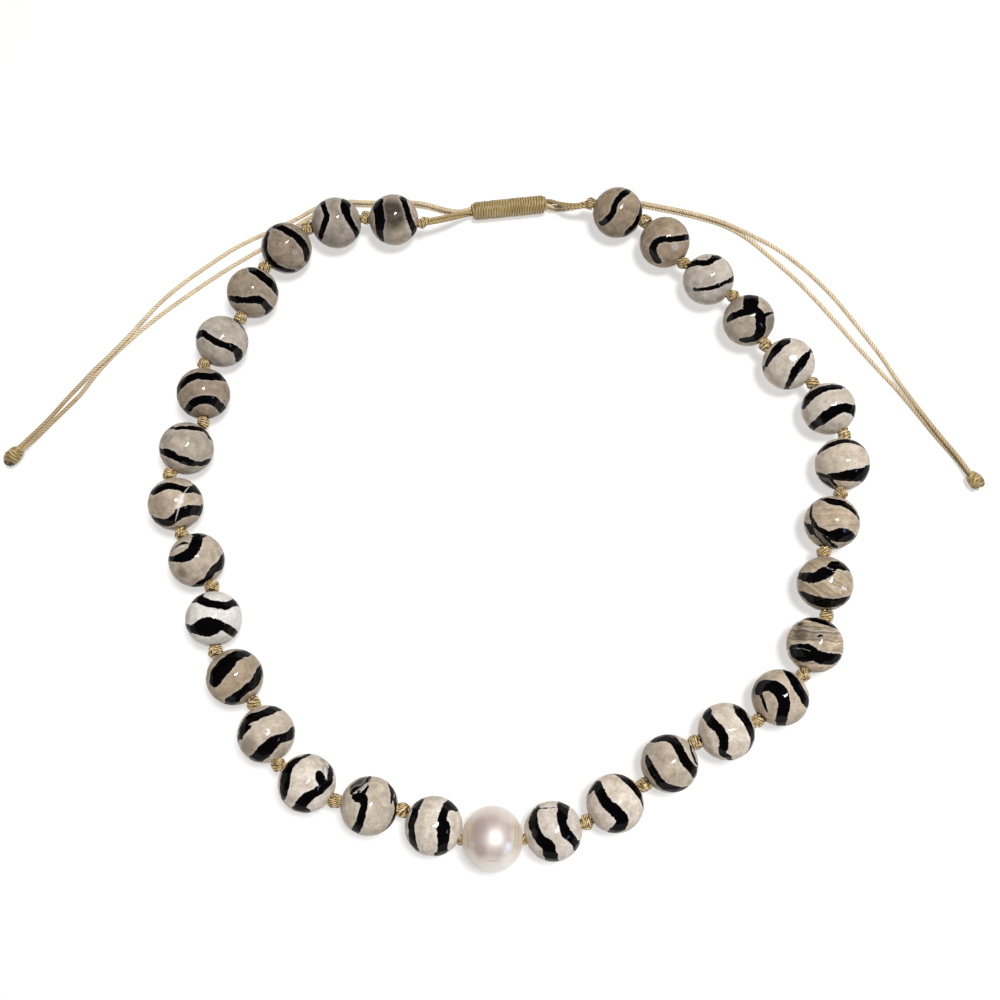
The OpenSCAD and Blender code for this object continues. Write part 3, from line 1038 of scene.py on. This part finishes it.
CHART: dict[tuple[Side, int], Markings] = {
    (Side.LEFT, 1): Markings((
        ((-53, 77, 18), (-66, 42, 20), (-76, 3, 20), (-75, -30, 20), (-64, -70, 18)),
        ((67, 68, 25), (45, 62, 25), (34, 45, 20), (30, 19, 28), (34, -5, 42), (35, -30, 40), (33, -60, 28),
         (29, -88, 26))), .05, .88),
    (Side.LEFT, 2): Markings((
        ((-57, 31, 10), (-42, 26, 24), (-27, 26, 30), (-18, 14, 26), (-17, 0, 16), (-22, -20, 19),
         (-28, -45, 22), (-38, -70, 24), (-46, -86, 22)),
        ((-22, 40, 10), (-13, 53, 5), (-7, 66, 2)), ((-42, 34, 8), (-36, 46, 3)),
        ((-60, 42, 10), (-52, 55, 8), (-33, 64, 4), (-14, 78, 3), (-4, 93, 6)),
        ((66, 84, 6), (72, 64, 13), (77, 45, 10), (75, 20, 5), (74, 5, 2)),
        ((88, 14, 10), (92, -10, 13), (87, -39, 15), (72, -65, 13), (48, -88, 8), (20, -100, 4))),
        .3, .88, veins=(((-54, 41, 5), (-44, 50, 1)), ((-46, 42, 3), (-30, 57, 1)),
                   ((-32, 45, 5), (-12, 68, 2)), ((-24, 50, 3), (-6, 78, 2))),
        clouds=((-44, 70, 25, 200), (-24, 84, 22, 200), (-58, 56, 14, 120))),
    (Side.LEFT, 3): Markings((
        ((10, 100, 5), (-18, 87, 10), (-41, 76, 17), (-62, 58, 24), (-75, 32, 30), (-78, 6, 32),
         (-80, -22, 24), (-80, -46, 10)),
        ((80, 52, 10), (80, 28, 17), (75, 4, 20), (60, -9, 26), (39, -27, 27), (11, -43, 28),
         (-11, -61, 36), (-18, -82, 38), (-14, -97, 30)),
        ((40, 28, 22), (46, 14, 26), (57, -4, 24))), .03, .9,
        veins=(((58, 52, 5), (62, 30, 7), (67, 10, 1)), ((54, 42, 3), (59, 14, 1)),
               ((50, 56, 2), (70, 40, 2))),
        clouds=((64, 44, 18, 80), (80, 54, 17, 100), (50, 76, 14, 50))),
    (Side.LEFT, 4): Markings((
        ((36, 95, 20), (7, 79, 22), (-31, 63, 25), (-63, 50, 27), (-79, 26, 22), (-87, -1, 18)),
        ((-75, 8, 12), (-55, 26, 8)),
        ((96, 15, 8), (84, -3, 25), (55, -14, 25), (28, -27, 35), (7, -49, 45), (-12, -70, 42),
         (-35, -87, 20))),
        .32, .92, clouds=((-57, -43, 35, 50),)),
    (Side.LEFT, 5): Markings((
        ((53, 88, 8), (20, 84, 26), (-13, 68, 36), (-38, 42, 50), (-60, 13, 50), (-71, -12, 34)),
        ((93, 39, 6), (83, 7, 25), (70, -20, 27), (42, -42, 26), (15, -64, 26), (-7, -84, 30))), .66),
    (Side.LEFT, 6): Markings((
        ((-62, 76, 26), (-39, 64, 24), (-6, 52, 24), (33, 46, 24), (65, 56, 22), (83, 66, 20)),
        ((-97, -24, 6), (-80, -36, 18), (-58, -38, 32), (-38, -33, 58), (-10, -31, 62), (14, -26, 40),
         (38, -29, 27), (60, -43, 27), (80, -58, 20))), -.28, .6, clouds=((-95, 10, 30, 30),)),
    (Side.LEFT, 7): Markings((
        ((8, 95, 30), (-1, 69, 34), (-12, 42, 36), (-32, 20, 36), (-60, 8, 28), (-86, 4, 14)),
        ((100, -1, 30), (84, -16, 26), (60, -36, 22), (44, -61, 18), (19, -85, 16), (0, -94, 12)),
        ((-84, 36, 3), (-60, 58, 3), (-36, 62, 4), (-22, 52, 4))),
        .44, .84, veins=(((-72, 40, 1), (-52, 49, 5), (-34, 50, 1)),),
        clouds=((-50, -47, 20, 60), (-66, 52, 12, 70))),
    (Side.LEFT, 8): Markings((
        ((-72, 50, 20), (-35, 67, 24), (10, 61, 20), (41, 52, 20), (89, 56, 22)),
        ((-75, -57, 14), (-35, -70, 24), (-6, -57, 28), (19, -34, 36), (54, -24, 38), (90, -25, 28))),
        .42, .95, veins=(((60, 76, 0), (32, 45, 2), (16, 6, 5), (3, -45, 2), (-2, -65, 0)),),
        clouds=((-60, -5, 40, 25),), haze=((16, 10, 12, 90), (22, 28, 10, 60), (8, -10, 10, 60))),
    (Side.LEFT, 9): Markings((
        ((-34, 76, 8), (16, 78, 13), (61, 70, 14), (84, 44, 12)),
        ((-84, -12, 16), (-58, -20, 26), (-32, -37, 20), (-8, -46, 28), (29, -57, 16), (75, -50, 14))),
        .58, .68),
    (Side.LEFT, 10): Markings((
        ((-95, 12, 15), (-68, 47, 22), (-21, 68, 24), (30, 64, 24), (78, 64, 22)),
        ((-60, -60, 22), (-37, -35, 27), (2, -23, 28), (41, -31, 30), (69, -62, 26))), .92, .9),
    (Side.LEFT, 11): Markings((
        ((-90, 25, 12), (-72, 32, 20), (-45, 13, 20), (-5, -8, 20), (32, -22, 24), (55, -38, 28),
         (62, -65, 20)),
        ((60, 82, 10), (85, 52, 13), (98, 15, 10))), .5, .6),
    (Side.LEFT, 12): Markings((
        ((10, 85, 22), (40, 64, 27), (70, 40, 28), (95, 6, 20)),
        ((-78, -22, 18), (-50, -28, 20), (-20, -28, 22), (25, -28, 24), (52, -52, 24), (60, -78, 20))),
        .75, .9, clouds=((0, 10, 90, 20),)),
    (Side.LEFT, 13): Markings((
        ((-72, 50, 12), (-84, 10, 15), (-74, -35, 16), (-35, -75, 17), (15, -90, 14)),
        ((-35, 86, 15), (5, 68, 24), (45, 40, 26), (72, 5, 25), (80, -35, 18))), .98, .9),
    (Side.LEFT, 14): Markings((
        ((-50, 75, 16), (-42, 45, 18), (-38, 20, 20), (-52, -15, 20), (-64, -50, 14)),
        ((42, 80, 30), (38, 55, 32), (48, 22, 25), (68, -18, 18), (84, -50, 15))), .82, .65),
    (Side.LEFT, 15): Markings((
        ((-64, 62, 30), (-58, 20, 36), (-58, -15, 34), (-60, -45, 25), (-52, -75, 12)),
        ((40, 80, 15), (50, 50, 20), (60, 10, 20), (74, -25, 20), (82, -52, 16))),
        .64, .75, clouds=((-10, 25, 62, 115),)),
    (Side.RIGHT, 1): Markings((
        ((-54, 76, 8), (-67, 51, 20), (-69, 24, 28), (-59, -3, 30), (-41, -30, 33), (-19, -50, 38),
         (-10, -80, 40)),
        ((37, 81, 36), (32, 54, 32), (32, 27, 28), (43, -3, 30), (64, -27, 25), (79, -47, 22)),
        ((-50, 71, 0), (-10, 75, 0), (30, 76, 0))), .08, .8),
    (Side.RIGHT, 2): Markings((
        ((-82, 40, 10), (-62, 60, 22), (-50, 36, 30), (-27, 0, 35), (7, -30, 36), (24, -57, 38),
         (10, -83, 28), (-20, -95, 6)),
        ((6, 98, 8), (39, 81, 20), (65, 58, 22), (83, 33, 18), (93, 6, 8), (97, -22, 3))), .04),
    (Side.RIGHT, 3): Markings((
        ((-41, 83, 22), (4, 87, 26), (31, 58, 27), (50, 20, 27), (66, -5, 27), (86, -30, 20)),
        ((-76, 20, 12), (-65, -12, 22), (-45, -48, 25), (-20, -76, 25), (5, -87, 22), (45, -86, 16)),
        ((78, 38, 5), (88, 10, 8))), .4, .87),
    (Side.RIGHT, 4): Markings((
        ((-61, 77, 10), (-64, 55, 25), (-47, 30, 30), (-22, 3, 30), (-11, -22, 30), (-10, -47, 28),
         (-17, -72, 18), (2, -88, 12)),
        ((47, 86, 18), (56, 64, 28), (69, 39, 25), (82, 11, 22), (90, -17, 18), (86, -44, 14),
         (69, -72, 8))), .04),
    (Side.RIGHT, 5): Markings((
        ((24, 93, 10), (41, 76, 20), (58, 48, 27), (75, 17, 28), (89, -11, 22), (96, -25, 10)),
        ((-74, 29, 24), (-64, 38, 32), (-50, 43, 36), (-21, 39, 40), (4, 17, 42), (13, -11, 38),
         (10, -42, 33), (1, -70, 33), (-1, -96, 30)),
        ((-66, 16, 10), (-57, -15, 6), (-44, -52, 0))), .36,
        clouds=((-90, 26, 26, 90), (-72, 54, 16, 60), (-50, 68, 12, 40))),
    (Side.RIGHT, 6): Markings((
        ((-30, 96, 6), (0, 92, 16), (30, 85, 20), (55, 75, 16), (75, 62, 6)),
        ((-74, -26, 36), (-50, -31, 58), (-22, -27, 54), (0, -35, 38), (30, -48, 42), (58, -50, 33),
         (74, -46, 20)),
        ((10, 30, 3), (18, 32, 7), (28, 33, 3))), .34, 1.15,
        veins=(((-75, -12, 0), (-45, -13, 1), (-15, -22, 0)), ((-60, 66, 1), (-10, 50, 2), (50, 47, 1)),
               ((-80, 10, 0), (-30, 6, 1), (10, 8, 0))),
        clouds=((-45, 42, 34, 80), (12, 38, 32, 60), (60, 42, 30, 40), (-48, 72, 16, 100)),
        strata=1.0, stack=86),
    (Side.RIGHT, 7): Markings((
        ((-82, 27, 24), (-60, 22, 32), (-30, 24, 36), (-6, 36, 40), (16, 48, 34), (32, 66, 25),
         (58, 66, 22), (84, 53, 12)),
        ((-78, -40, 12), (-45, -60, 30), (-10, -71, 32), (19, -73, 28), (48, -69, 24), (77, -56, 14))),
        .5, veins=(((6, 8, 1), (19, -11, 2), (45, -15, 1), (52, -34, 2), (62, -50, 1)),
                   ((62, -16, 14), (70, -20, 12)), ((26, 44, 1), (62, 30, 2), (88, -6, 1)),
                   ((-10, 74, 1), (12, 56, 2), (30, 50, 1))), strata=.5, stack=55),
    (Side.RIGHT, 8): Markings((
        ((-34, 88, 6), (5, 79, 20), (42, 70, 20), (71, 50, 14), (94, 18, 7)),
        ((-70, 58, 5), (-74, 32, 7), (-68, 8, 10), (-55, -14, 13), (-36, -29, 14), (-14, -42, 13)),
        ((-4, -44, 20), (12, -46, 40), (35, -48, 48), (58, -51, 38), (74, -54, 12)),
        ((-86, -12, 10), (-76, -26, 22), (-64, -36, 10), (-46, -58, 3), (-26, -80, 3), (-10, -96, 3)),
        ((-30, -46, 6), (-12, -66, 4), (12, -88, 7))), .44,
        clouds=((-56, -30, 17, 130), (-44, -44, 17, 130), (-32, -57, 17, 130), (-20, -70, 17, 130),
                (-7, -82, 15, 130)), strata=.3),
    (Side.RIGHT, 9): Markings((
        ((-77, 51, 12), (-40, 75, 15), (-4, 87, 15), (72, 67, 15)),
        ((-50, -42, 6), (-28, -46, 20), (0, -46, 30), (30, -43, 38), (60, -40, 42), (95, -33, 30)),
        ((-88, -36, 6), (-64, -44, 10), (-42, -54, 5), (-20, -80, 4)),
        ((-74, -58, 8), (-58, -70, 12), (-36, -86, 8))), .2,
        clouds=((-70, -50, 17, 130), (-50, -66, 17, 130), (-34, -78, 10, 100))),
    (Side.RIGHT, 10): Markings((
        ((-88, 26, 28), (-57, 57, 28), (-15, 77, 20), (36, 83, 14)),
        ((-50, -64, 22), (-28, -46, 32), (5, -20, 36), (40, 0, 34), (77, 0, 30), (98, -10, 22))), .25, .78),
    (Side.RIGHT, 11): Markings((
        ((-20, 84, 25), (-48, 54, 25), (-70, 22, 17), (-82, -4, 10)),
        ((75, 42, 10), (62, 22, 24), (42, -5, 30), (22, -38, 26), (2, -80, 14))), .18, .82),
    (Side.RIGHT, 12): Markings((
        ((6, 96, 50), (6, 75, 56), (5, 50, 50)),
        ((-78, 3, 14), (-62, 14, 22), (-35, 27, 22), (5, 36, 25)),
        ((28, 40, 25), (40, 20, 34), (47, -10, 34), (48, -42, 34), (28, -68, 24), (-20, -77, 15)),
        ((50, 12, 6), (70, 24, 7), (93, 32, 6))), .58, .75,
        clouds=((84, -5, 40, 60), (-45, 68, 40, 30))),
    (Side.RIGHT, 13): Markings((
        ((-78, 57, 16), (-10, 65, 18), (31, 88, 16)),
        ((-52, -38, 10), (16, -31, 11), (66, -11, 11), (96, 3, 10))), .4, .62),
    (Side.RIGHT, 14): Markings((
        ((93, 22, 18), (43, 13, 18), (4, 13, 18), (-26, 7, 22), (-45, -20, 25), (-42, -45, 25),
         (-25, -72, 22)),), .8),
    (Side.RIGHT, 15): Markings((
        ((32, 80, 20), (-8, 39, 20), (-18, 5, 20), (-40, -26, 20), (-65, -42, 18)),
        ((95, 33, 15), (85, -23, 16), (45, -73, 16))), .9),
}


def views(camera_at: Array, centre: Array) -> Array:
    """Right, up and towards the camera, as unit rows, at a ball's centre."""
    towards = unit(camera_at - centre)
    right = unit(np.array([1.0, 0, 0]) - towards[0] * towards)
    return np.array([right, np.cross(towards, right), towards])


def on_ball(rows: Sequence[Sequence[float]]) -> Array:
    """Lifts charted places onto the unit ball: (right, up, towards, half width)."""
    lifted = []
    for right, up, width in np.array(rows) / 100:
        far = min(1.0, 0.985 / max(1e-6, math.hypot(right, up)))
        right, up = right * far, up * far
        lifted.append((right, up, math.sqrt(1 - right**2 - up**2), width / 2))
    return np.array(lifted)


def smooth_chart(rows: Array) -> Array:
    """Smooths places on the unit ball and their half widths together."""
    if len(rows) == 2:
        return rows[0] + np.linspace(0, 1, 30)[:, None] * (rows[1] - rows[0])
    fine = np.linspace(0, len(rows) - 1, 40 * (len(rows) - 1))
    i = np.minimum(fine.astype(int), len(rows) - 2)
    t = (fine - i)[:, None]
    padded = np.vstack([2 * rows[0] - rows[1], rows, 2 * rows[-1] - rows[-2]])
    a, b, c, d = (padded[i + k] for k in range(4))
    smooth = 0.5 * (2 * b + (c - a) * t + (2 * a - 5 * b + 4 * c - d) * t**2 + (3 * b - 3 * c + d - a) * t**3)
    smooth[:, :3] = unit(smooth[:, :3])
    return smooth


def closed_band(rows: Line, rim: float = 80, widest: float = 1.9, ahead: float = 0.9,
                behind: float = 0.9) -> Array:
    """Runs a charted band on round the side that the camera doesn't see.

    Args:
        rows: Its charted places.
        rim: An end that lies further out than this runs on behind.
        widest: Most that a band is widened where it is seen slanted.
        ahead: How far it heads straight on beyond its ends, in radii.
        behind: How far it bends away from the camera there, in radii.

    Returns:
        Places along the band, close together: (right, up, towards, half width).
    """
    charted = on_ball(rows)
    seen = smooth_chart(charted)
    # a band that runs beside the rim is seen slanted, so it is wider than it looks
    heading = unit(np.gradient(seen[:, :2], axis=0))
    slant = (seen[:, 1] * heading[:, 0] - seen[:, 0] * heading[:, 1]) / np.maximum(seen[:, 2], 0.3)
    seen[:, 3] *= np.minimum(np.sqrt(1 + slant**2), widest)
    parts, t = [seen], np.linspace(0, 1, 90)[:, None]
    ends = [(charted[0], charted[1]), (charted[-1], charted[-2])]
    at_rim = [math.hypot(*rows[i][:2]) > rim for i in (0, -1)]
    pull = [place[:3] + ahead * unit((place - before)[:3]) - [0, 0, behind] for place, before in ends]
    if all(at_rim):
        back = bezier(t, charted[-1, :3], pull[1], pull[0], charted[0, :3])
        width = (1 - t) * charted[-1, 3] + t * charted[0, 3] + 0.05 * np.sin(math.pi * t)
        parts.append(np.hstack([back, width]))
    else:
        for runs_on, (place, _), reach in zip(at_rim, ends, pull):
            if runs_on:
                back = bezier(t, place[:3], reach, reach - [0, 0, 0.7])
                parts.append(np.hstack([back, place[3] * (1 - 0.8 * t)]))
    band = np.vstack(parts)
    band[:, :3] = unit(band[:, :3])
    return band


def gap_to(rays: Array, lines: Sequence[Array], radius: float) -> Array:
    """Distance from each point of a ball to the edge of the nearest line on it.

    Args:
        rays: Unit directions of the points, in the chart's axes.
        lines: Lines of places on the unit ball, each with its half width.
        radius: The ball's radius, in mm.

    Returns:
        Distances in mm, below zero inside a line.
    """
    nearest = np.full(len(rays), 9.0)
    for line in lines:
        gap = np.sqrt(np.clip(2 - 2 * rays @ line[:, :3].T, 0, None)) - line[:, 3]
        nearest = np.minimum(nearest, gap.min(axis=1) * radius)
    return nearest


def patches(rays: Array, charted: Patches) -> Array:
    """Depth of charted patches at each point of a ball."""
    deepest = np.zeros(len(rays))
    for right, up, size, depth in charted:
        middle = on_ball([(right, up, 0)])[0, :3]
        fade = np.clip(1.5 - np.linalg.norm(rays - middle, axis=1) / (size / 100), 0, 1)
        deepest = np.maximum(deepest, depth / 100 * fade * fade * (3 - 2 * fade))
    return deepest


def rays_round(edge: float, rows: int, columns: int) -> Array:
    """Unit directions in rings round a hole along X.

    Args:
        edge: Angle between the hole's axis and the first and last ring.
        rows: Number of rings.
        columns: Directions in a ring.

    Returns:
        The directions, ring by ring.
    """
    lift = np.linspace(edge, math.pi - edge, rows)[:, None]
    turn = np.arange(columns) / columns * FULL_TURN
    return np.stack([np.broadcast_to(-np.cos(lift), (rows, columns)), np.sin(lift) * np.cos(turn),
                     np.sin(lift) * np.sin(turn)], -1).reshape(-1, 3)


def drilled(skin: Array, columns: int, hole: float, rings: Sequence[float]) -> tuple[Array, Faces]:
    """Closes a skin round its hole along X.

    Args:
        skin: Points of the skin, in rings.
        columns: Points in a ring.
        hole: Radius of the hole.
        rings: Where the rings of its wall lie along X.

    Returns:
        Points and faces.
    """
    turn = np.arange(columns) / columns * FULL_TURN
    points = np.vstack([skin, [[x, hole * math.cos(a), hole * math.sin(a)] for x in rings for a in turn]])
    total = len(points) // columns
    j, i = np.meshgrid(np.arange(total), np.arange(columns), indexing="ij")
    down, nxt = (j + 1) % total * columns, (i + 1) % columns
    quads = np.stack([j * columns + i, down + i, down + nxt, j * columns + nxt], -1)
    return points, quads.reshape(-1, 4).tolist()


@dataclass(frozen=True)
class AgateBead:
    """One drilled, faceted round of banded agate, in mm."""

    side: Side
    n: int
    camera_at: Array
    plan: StringPlan = StringPlan()
    # how deep a facet is cut, as a share of the radius, and degrees between two
    facet_depth: float = 0.0125
    facet_step: float = 20.0
    # round of the hole's edge
    edge: float = 0.12
    columns: int = 120
    rows: int = 58

    @property
    def node(self) -> str:
        """The bead's CAD node."""
        return f"{self.side.name.lower()}_bead_{self.n}"

    def facets(self, rng: np.random.Generator) -> tuple[Array, Array]:
        """Cuts the facets in rows round the hole.

        Args:
            rng: Source of the hand-cut differences.

        Returns:
            Directions of the facets, with the hole along X, and how far each lies from
            the middle, as a share of the radius.
        """
        normals = []
        for row, degrees in enumerate(np.arange(-80, 81, self.facet_step)):
            lift = math.radians(degrees)
            count = max(5, round(360 / self.facet_step * math.cos(lift)))
            turn = (np.arange(count) + 0.5 * (row % 2) + rng.uniform(-0.1, 0.1)) / count * FULL_TURN
            normals.append(np.column_stack([np.full(count, math.sin(lift)), math.cos(lift) * np.cos(turn),
                                            math.cos(lift) * np.sin(turn)]))
        normals = np.vstack(normals)
        return normals, 1 - self.facet_depth * rng.uniform(0.75, 1.25, len(normals))

    def surface(self, rng: np.random.Generator) -> tuple[Array, Faces]:
        """The faceted ball with its bore, hole along X.

        Args:
            rng: Source of the hand-cut differences.

        Returns:
            Points and faces.
        """
        radius, hole = self.plan.bead_d / 2, self.plan.hole_d / 2
        rays = rays_round(math.asin((hole + self.edge) / radius), self.rows, self.columns)
        normals, depth = self.facets(rng)
        facing = rays @ normals.T
        cut = np.where(facing > 0.9, depth / np.maximum(facing, 0.9), 1).min(axis=1)
        wall = math.sqrt(radius**2 - hole**2)
        return drilled(radius * np.minimum(cut, 1)[:, None] * rays, self.columns, hole,
                       (wall - 0.1, wall - 0.5, 0.5 - wall, 0.1 - wall))

    def build(self, agate: Material) -> None:
        """Cuts the bead and marks it.

        Args:
            agate: Its stone.
        """
        points, faces = self.surface(np.random.default_rng(100 + 20 * self.side.value + self.n))
        turn = self.plan.turn_of(self.side, self.n)
        points = points @ np.array([along(turn), across(turn), UP])
        centre, radius = self.plan.bead_at(self.side, self.n), self.plan.bead_d / 2
        rays, chart = unit(points) @ views(self.camera_at, centre).T, CHART[self.side, self.n]
        stone = mesh_piece(f"{self.node}_stone", points + centre, faces, agate)
        # each stone lies in a stretch of the layer noise of its own
        own_layers = 10 * self.n + 200 * self.side.value
        mark(stone, band_mm=gap_to(rays, [closed_band(band) for band in chart.bands], radius),
             vein_mm=gap_to(rays, [smooth_chart(on_ball(vein)) for vein in chart.veins], radius),
             cloud=patches(rays, chart.clouds), haze=patches(rays, chart.haze),
             tone=chart.tone, warmth=chart.warmth, strata=chart.strata,
             layers_mm=radius * rays @ along(chart.stack) + own_layers)
        settle(stone, Slot.AGATE, self.node)


@dataclass(frozen=True)
class Pearl:
    """The drilled pearl at the front, a little fuller across its hole than along it."""

    camera_at: Array
    plan: StringPlan = StringPlan()
    along_mm: float = 10.56
    # from the hole to the back, and to the front
    back_mm: float = 5.6
    front_mm: float = 5.36
    edge: float = 0.1
    columns: int = 140
    rows: int = 90
    # how far from the middle the ends begin, and over which length they grow
    pole_from: float = 1.6
    pole_fade: float = 2.4
    # growth lines, charted like the markings of a bead; then a pinkish grey overtone with painted shade round
    # the highlight, patches of painted light, and patches of painted highlight
    arcs: tuple[Line, ...] = (
        ((-86, -30, 1), (-76, -53, 3), (-57, -72, 3.5), (-33, -87, 2)),
        ((-92, -32, 1), (-82, -55, 2), (-62, -75, 2.5), (-36, -91, 2), (-10, -98, 1)),
        ((-79, 30, 1), (-80, 0, 2.5), (-76, -28, 1)),
        ((70, 42, 1), (73, 10, 2.5), (70, -22, 1)),
        ((80, 40, 1), (83, 10, 3), (80, -20, 1)),
        ((-20, -62, 0), (2, -65, 1), (20, -62, 0)))
    # pinkish grey overtone, darkened as painted shade round the highlight
    pink: Patches = (
        (-42, 36, 36, 70), (0, 50, 26, 50), (42, 30, 26, 45), (50, 2, 18, 40), (-50, 2, 30, 60),
        (-38, -32, 24, 75), (10, -38, 20, 35))
    # painted light, paler towards the bottom and the right
    cream: Patches = (
        (-10, -86, 42, 75), (50, -68, 34, 75), (78, 8, 24, 70), (-60, -60, 25, 40))
    # painted highlights
    blue: Patches = ((53, -22, 13, 80), (44, -36, 9, 50), (-64, -13, 6, 50))

    def build(self, nacre: Material) -> None:
        """Grows the pearl.

        Args:
            nacre: What it is made of.
        """
        hole, half, radius = self.plan.hole_d / 2, self.along_mm / 2, self.plan.pearl_d / 2
        edge = math.asin((hole + self.edge) / half)
        rays = rays_round(edge, self.rows, self.columns)
        full = np.where(rays[:, 1] > 0, self.back_mm, self.front_mm)
        skin = rays * np.column_stack([np.full(len(rays), half), full, np.full(len(rays), radius)])
        wall = half * math.cos(edge)
        points, faces = drilled(skin, self.columns, hole, (wall, -wall))
        centre = at_height(self.plan.pearl_at, radius)
        rays = unit(points) @ views(self.camera_at, centre).T
        pearl = mesh_piece("pearl_nacre", points + centre, faces, nacre)
        mark(pearl, ring_mm=points[:, 0],
             pole=np.clip((np.abs(points[:, 0]) - self.pole_from) / self.pole_fade, 0.08, 1),
             arc_mm=gap_to(rays, [smooth_chart(on_ball(arc)) for arc in self.arcs], radius),
             pink=patches(rays, self.pink), cream=patches(rays, self.cream), blue=patches(rays, self.blue))
        settle(pearl, Slot.PEARL, "pearl")


# The studio


@dataclass(frozen=True)
class SoftBox:
    """One square light, aimed at the front of the necklace. Places are in mm."""

    name: str
    at: tuple[float, float, float]
    side: float
    power: float
    colour: str = "#ffffff"
    aim: tuple[float, float, float] = (0.0, -20.0, 5.0)

    def build(self) -> None:
        """Hangs the light."""
        data = bpy.data.lights.new(self.name, "AREA")
        data.shape, data.size, data.energy = "SQUARE", self.side * MM, self.power
        data.color = linear(self.colour)[:3]
        light = in_scene(self.name, data)
        light.location = np.array(self.at) * MM
        x, y, z = np.array(self.aim) - self.at
        light.rotation_euler = (math.atan2(math.hypot(x, y), -z), 0, math.atan2(-x, y))


@dataclass(frozen=True)
class Studio:
    """Camera, soft light and a pale floor. Places are in mm."""

    camera_at: tuple[float, float, float] = (-2.0, -48.6, 185.73)
    tilt: float = 15.0
    lens: float = 36.0
    sensor: float = 36.0
    nearest: float = 10.0
    lights: tuple[SoftBox, ...] = (
        SoftBox("overhead_softbox", (128, 40, 660), 165, 5.2),
        SoftBox("cool_window", (250, -150, 150), 60, 0.08, "#a6c4f6"))
    sheet_side: float = 3000.0
    sheet_at: float = -0.02
    # colours of the room by height: level, overhead, and between
    room: tuple[tuple[float, str], ...] = ((0.0, "#e8e6e4"), (1.0, "#8e8e92"), (0.3, "#8c8a88"))
    room_light: float = 0.28

    def camera(self) -> None:
        """Places the camera where the photo was taken from."""
        data = bpy.data.cameras.new("photo_camera")
        data.lens, data.sensor_width, data.clip_start = self.lens, self.sensor, self.nearest * MM
        camera = in_scene("photo_camera", data)
        camera.location = np.array(self.camera_at) * MM
        camera.rotation_euler = (math.radians(self.tilt), 0, 0)
        bpy.context.scene.camera = camera

    def floor(self) -> None:
        """Lays a matt white sheet under the necklace."""
        corners = [at_height(self.sheet_side / 2 * np.array(corner), self.sheet_at)
                   for corner in ((-1, -1), (1, -1), (1, 1), (-1, 1))]
        sheet = mesh_piece("floor_sheet", np.array(corners), [[0, 1, 2, 3]], MattPaper().material())

    def light(self) -> None:
        """Hangs the lights in a pale room."""
        for box in self.lights:
            box.build()
        world = bpy.data.worlds.new("pale_room")
        bpy.context.scene.world = world
        g = NodeGraph(world)
        up = g.add("ShaderNodeSeparateXYZ", {0: g.add("ShaderNodeTexCoord").outputs["Generated"]}).outputs[2]
        room = g.add("ShaderNodeBackground", {0: g.ramp(up, *self.room), 1: self.room_light})
        g.add("ShaderNodeOutputWorld", {0: room.outputs[0]})
        bpy.context.scene.view_settings.view_transform = "Standard"


def main() -> None:
    """Builds the necklace and its studio in order."""
    logging.basicConfig(level=logging.INFO, format="%(message)s")
    studio = Studio()
    studio.camera()
    necklace_tails().build()
    # first colour of each thread: painted shade of its grooves; third: painted highlight of its crests
    gold = TwistedThread("knot_thread_waxed", "#2a1b0a", "#6a4c22", "#e4c78c", 0.15).material()
    tan = TwistedThread("winding_thread_twisted", "#7a6236", "#9c814c", "#b59e6a", 0.42).material()
    KnottedCord().build(gold, tan)
    SlidingKnot().build(tan)
    agate = BandedAgate().material()
    for side in Side:
        for n in range(1, StringPlan().beads_a_side + 1):
            AgateBead(side, n, np.array(studio.camera_at)).build(agate)
    Pearl(np.array(studio.camera_at)).build(Nacre().material())
    studio.floor()
    studio.light()


if __name__ == "__main__":
    main()
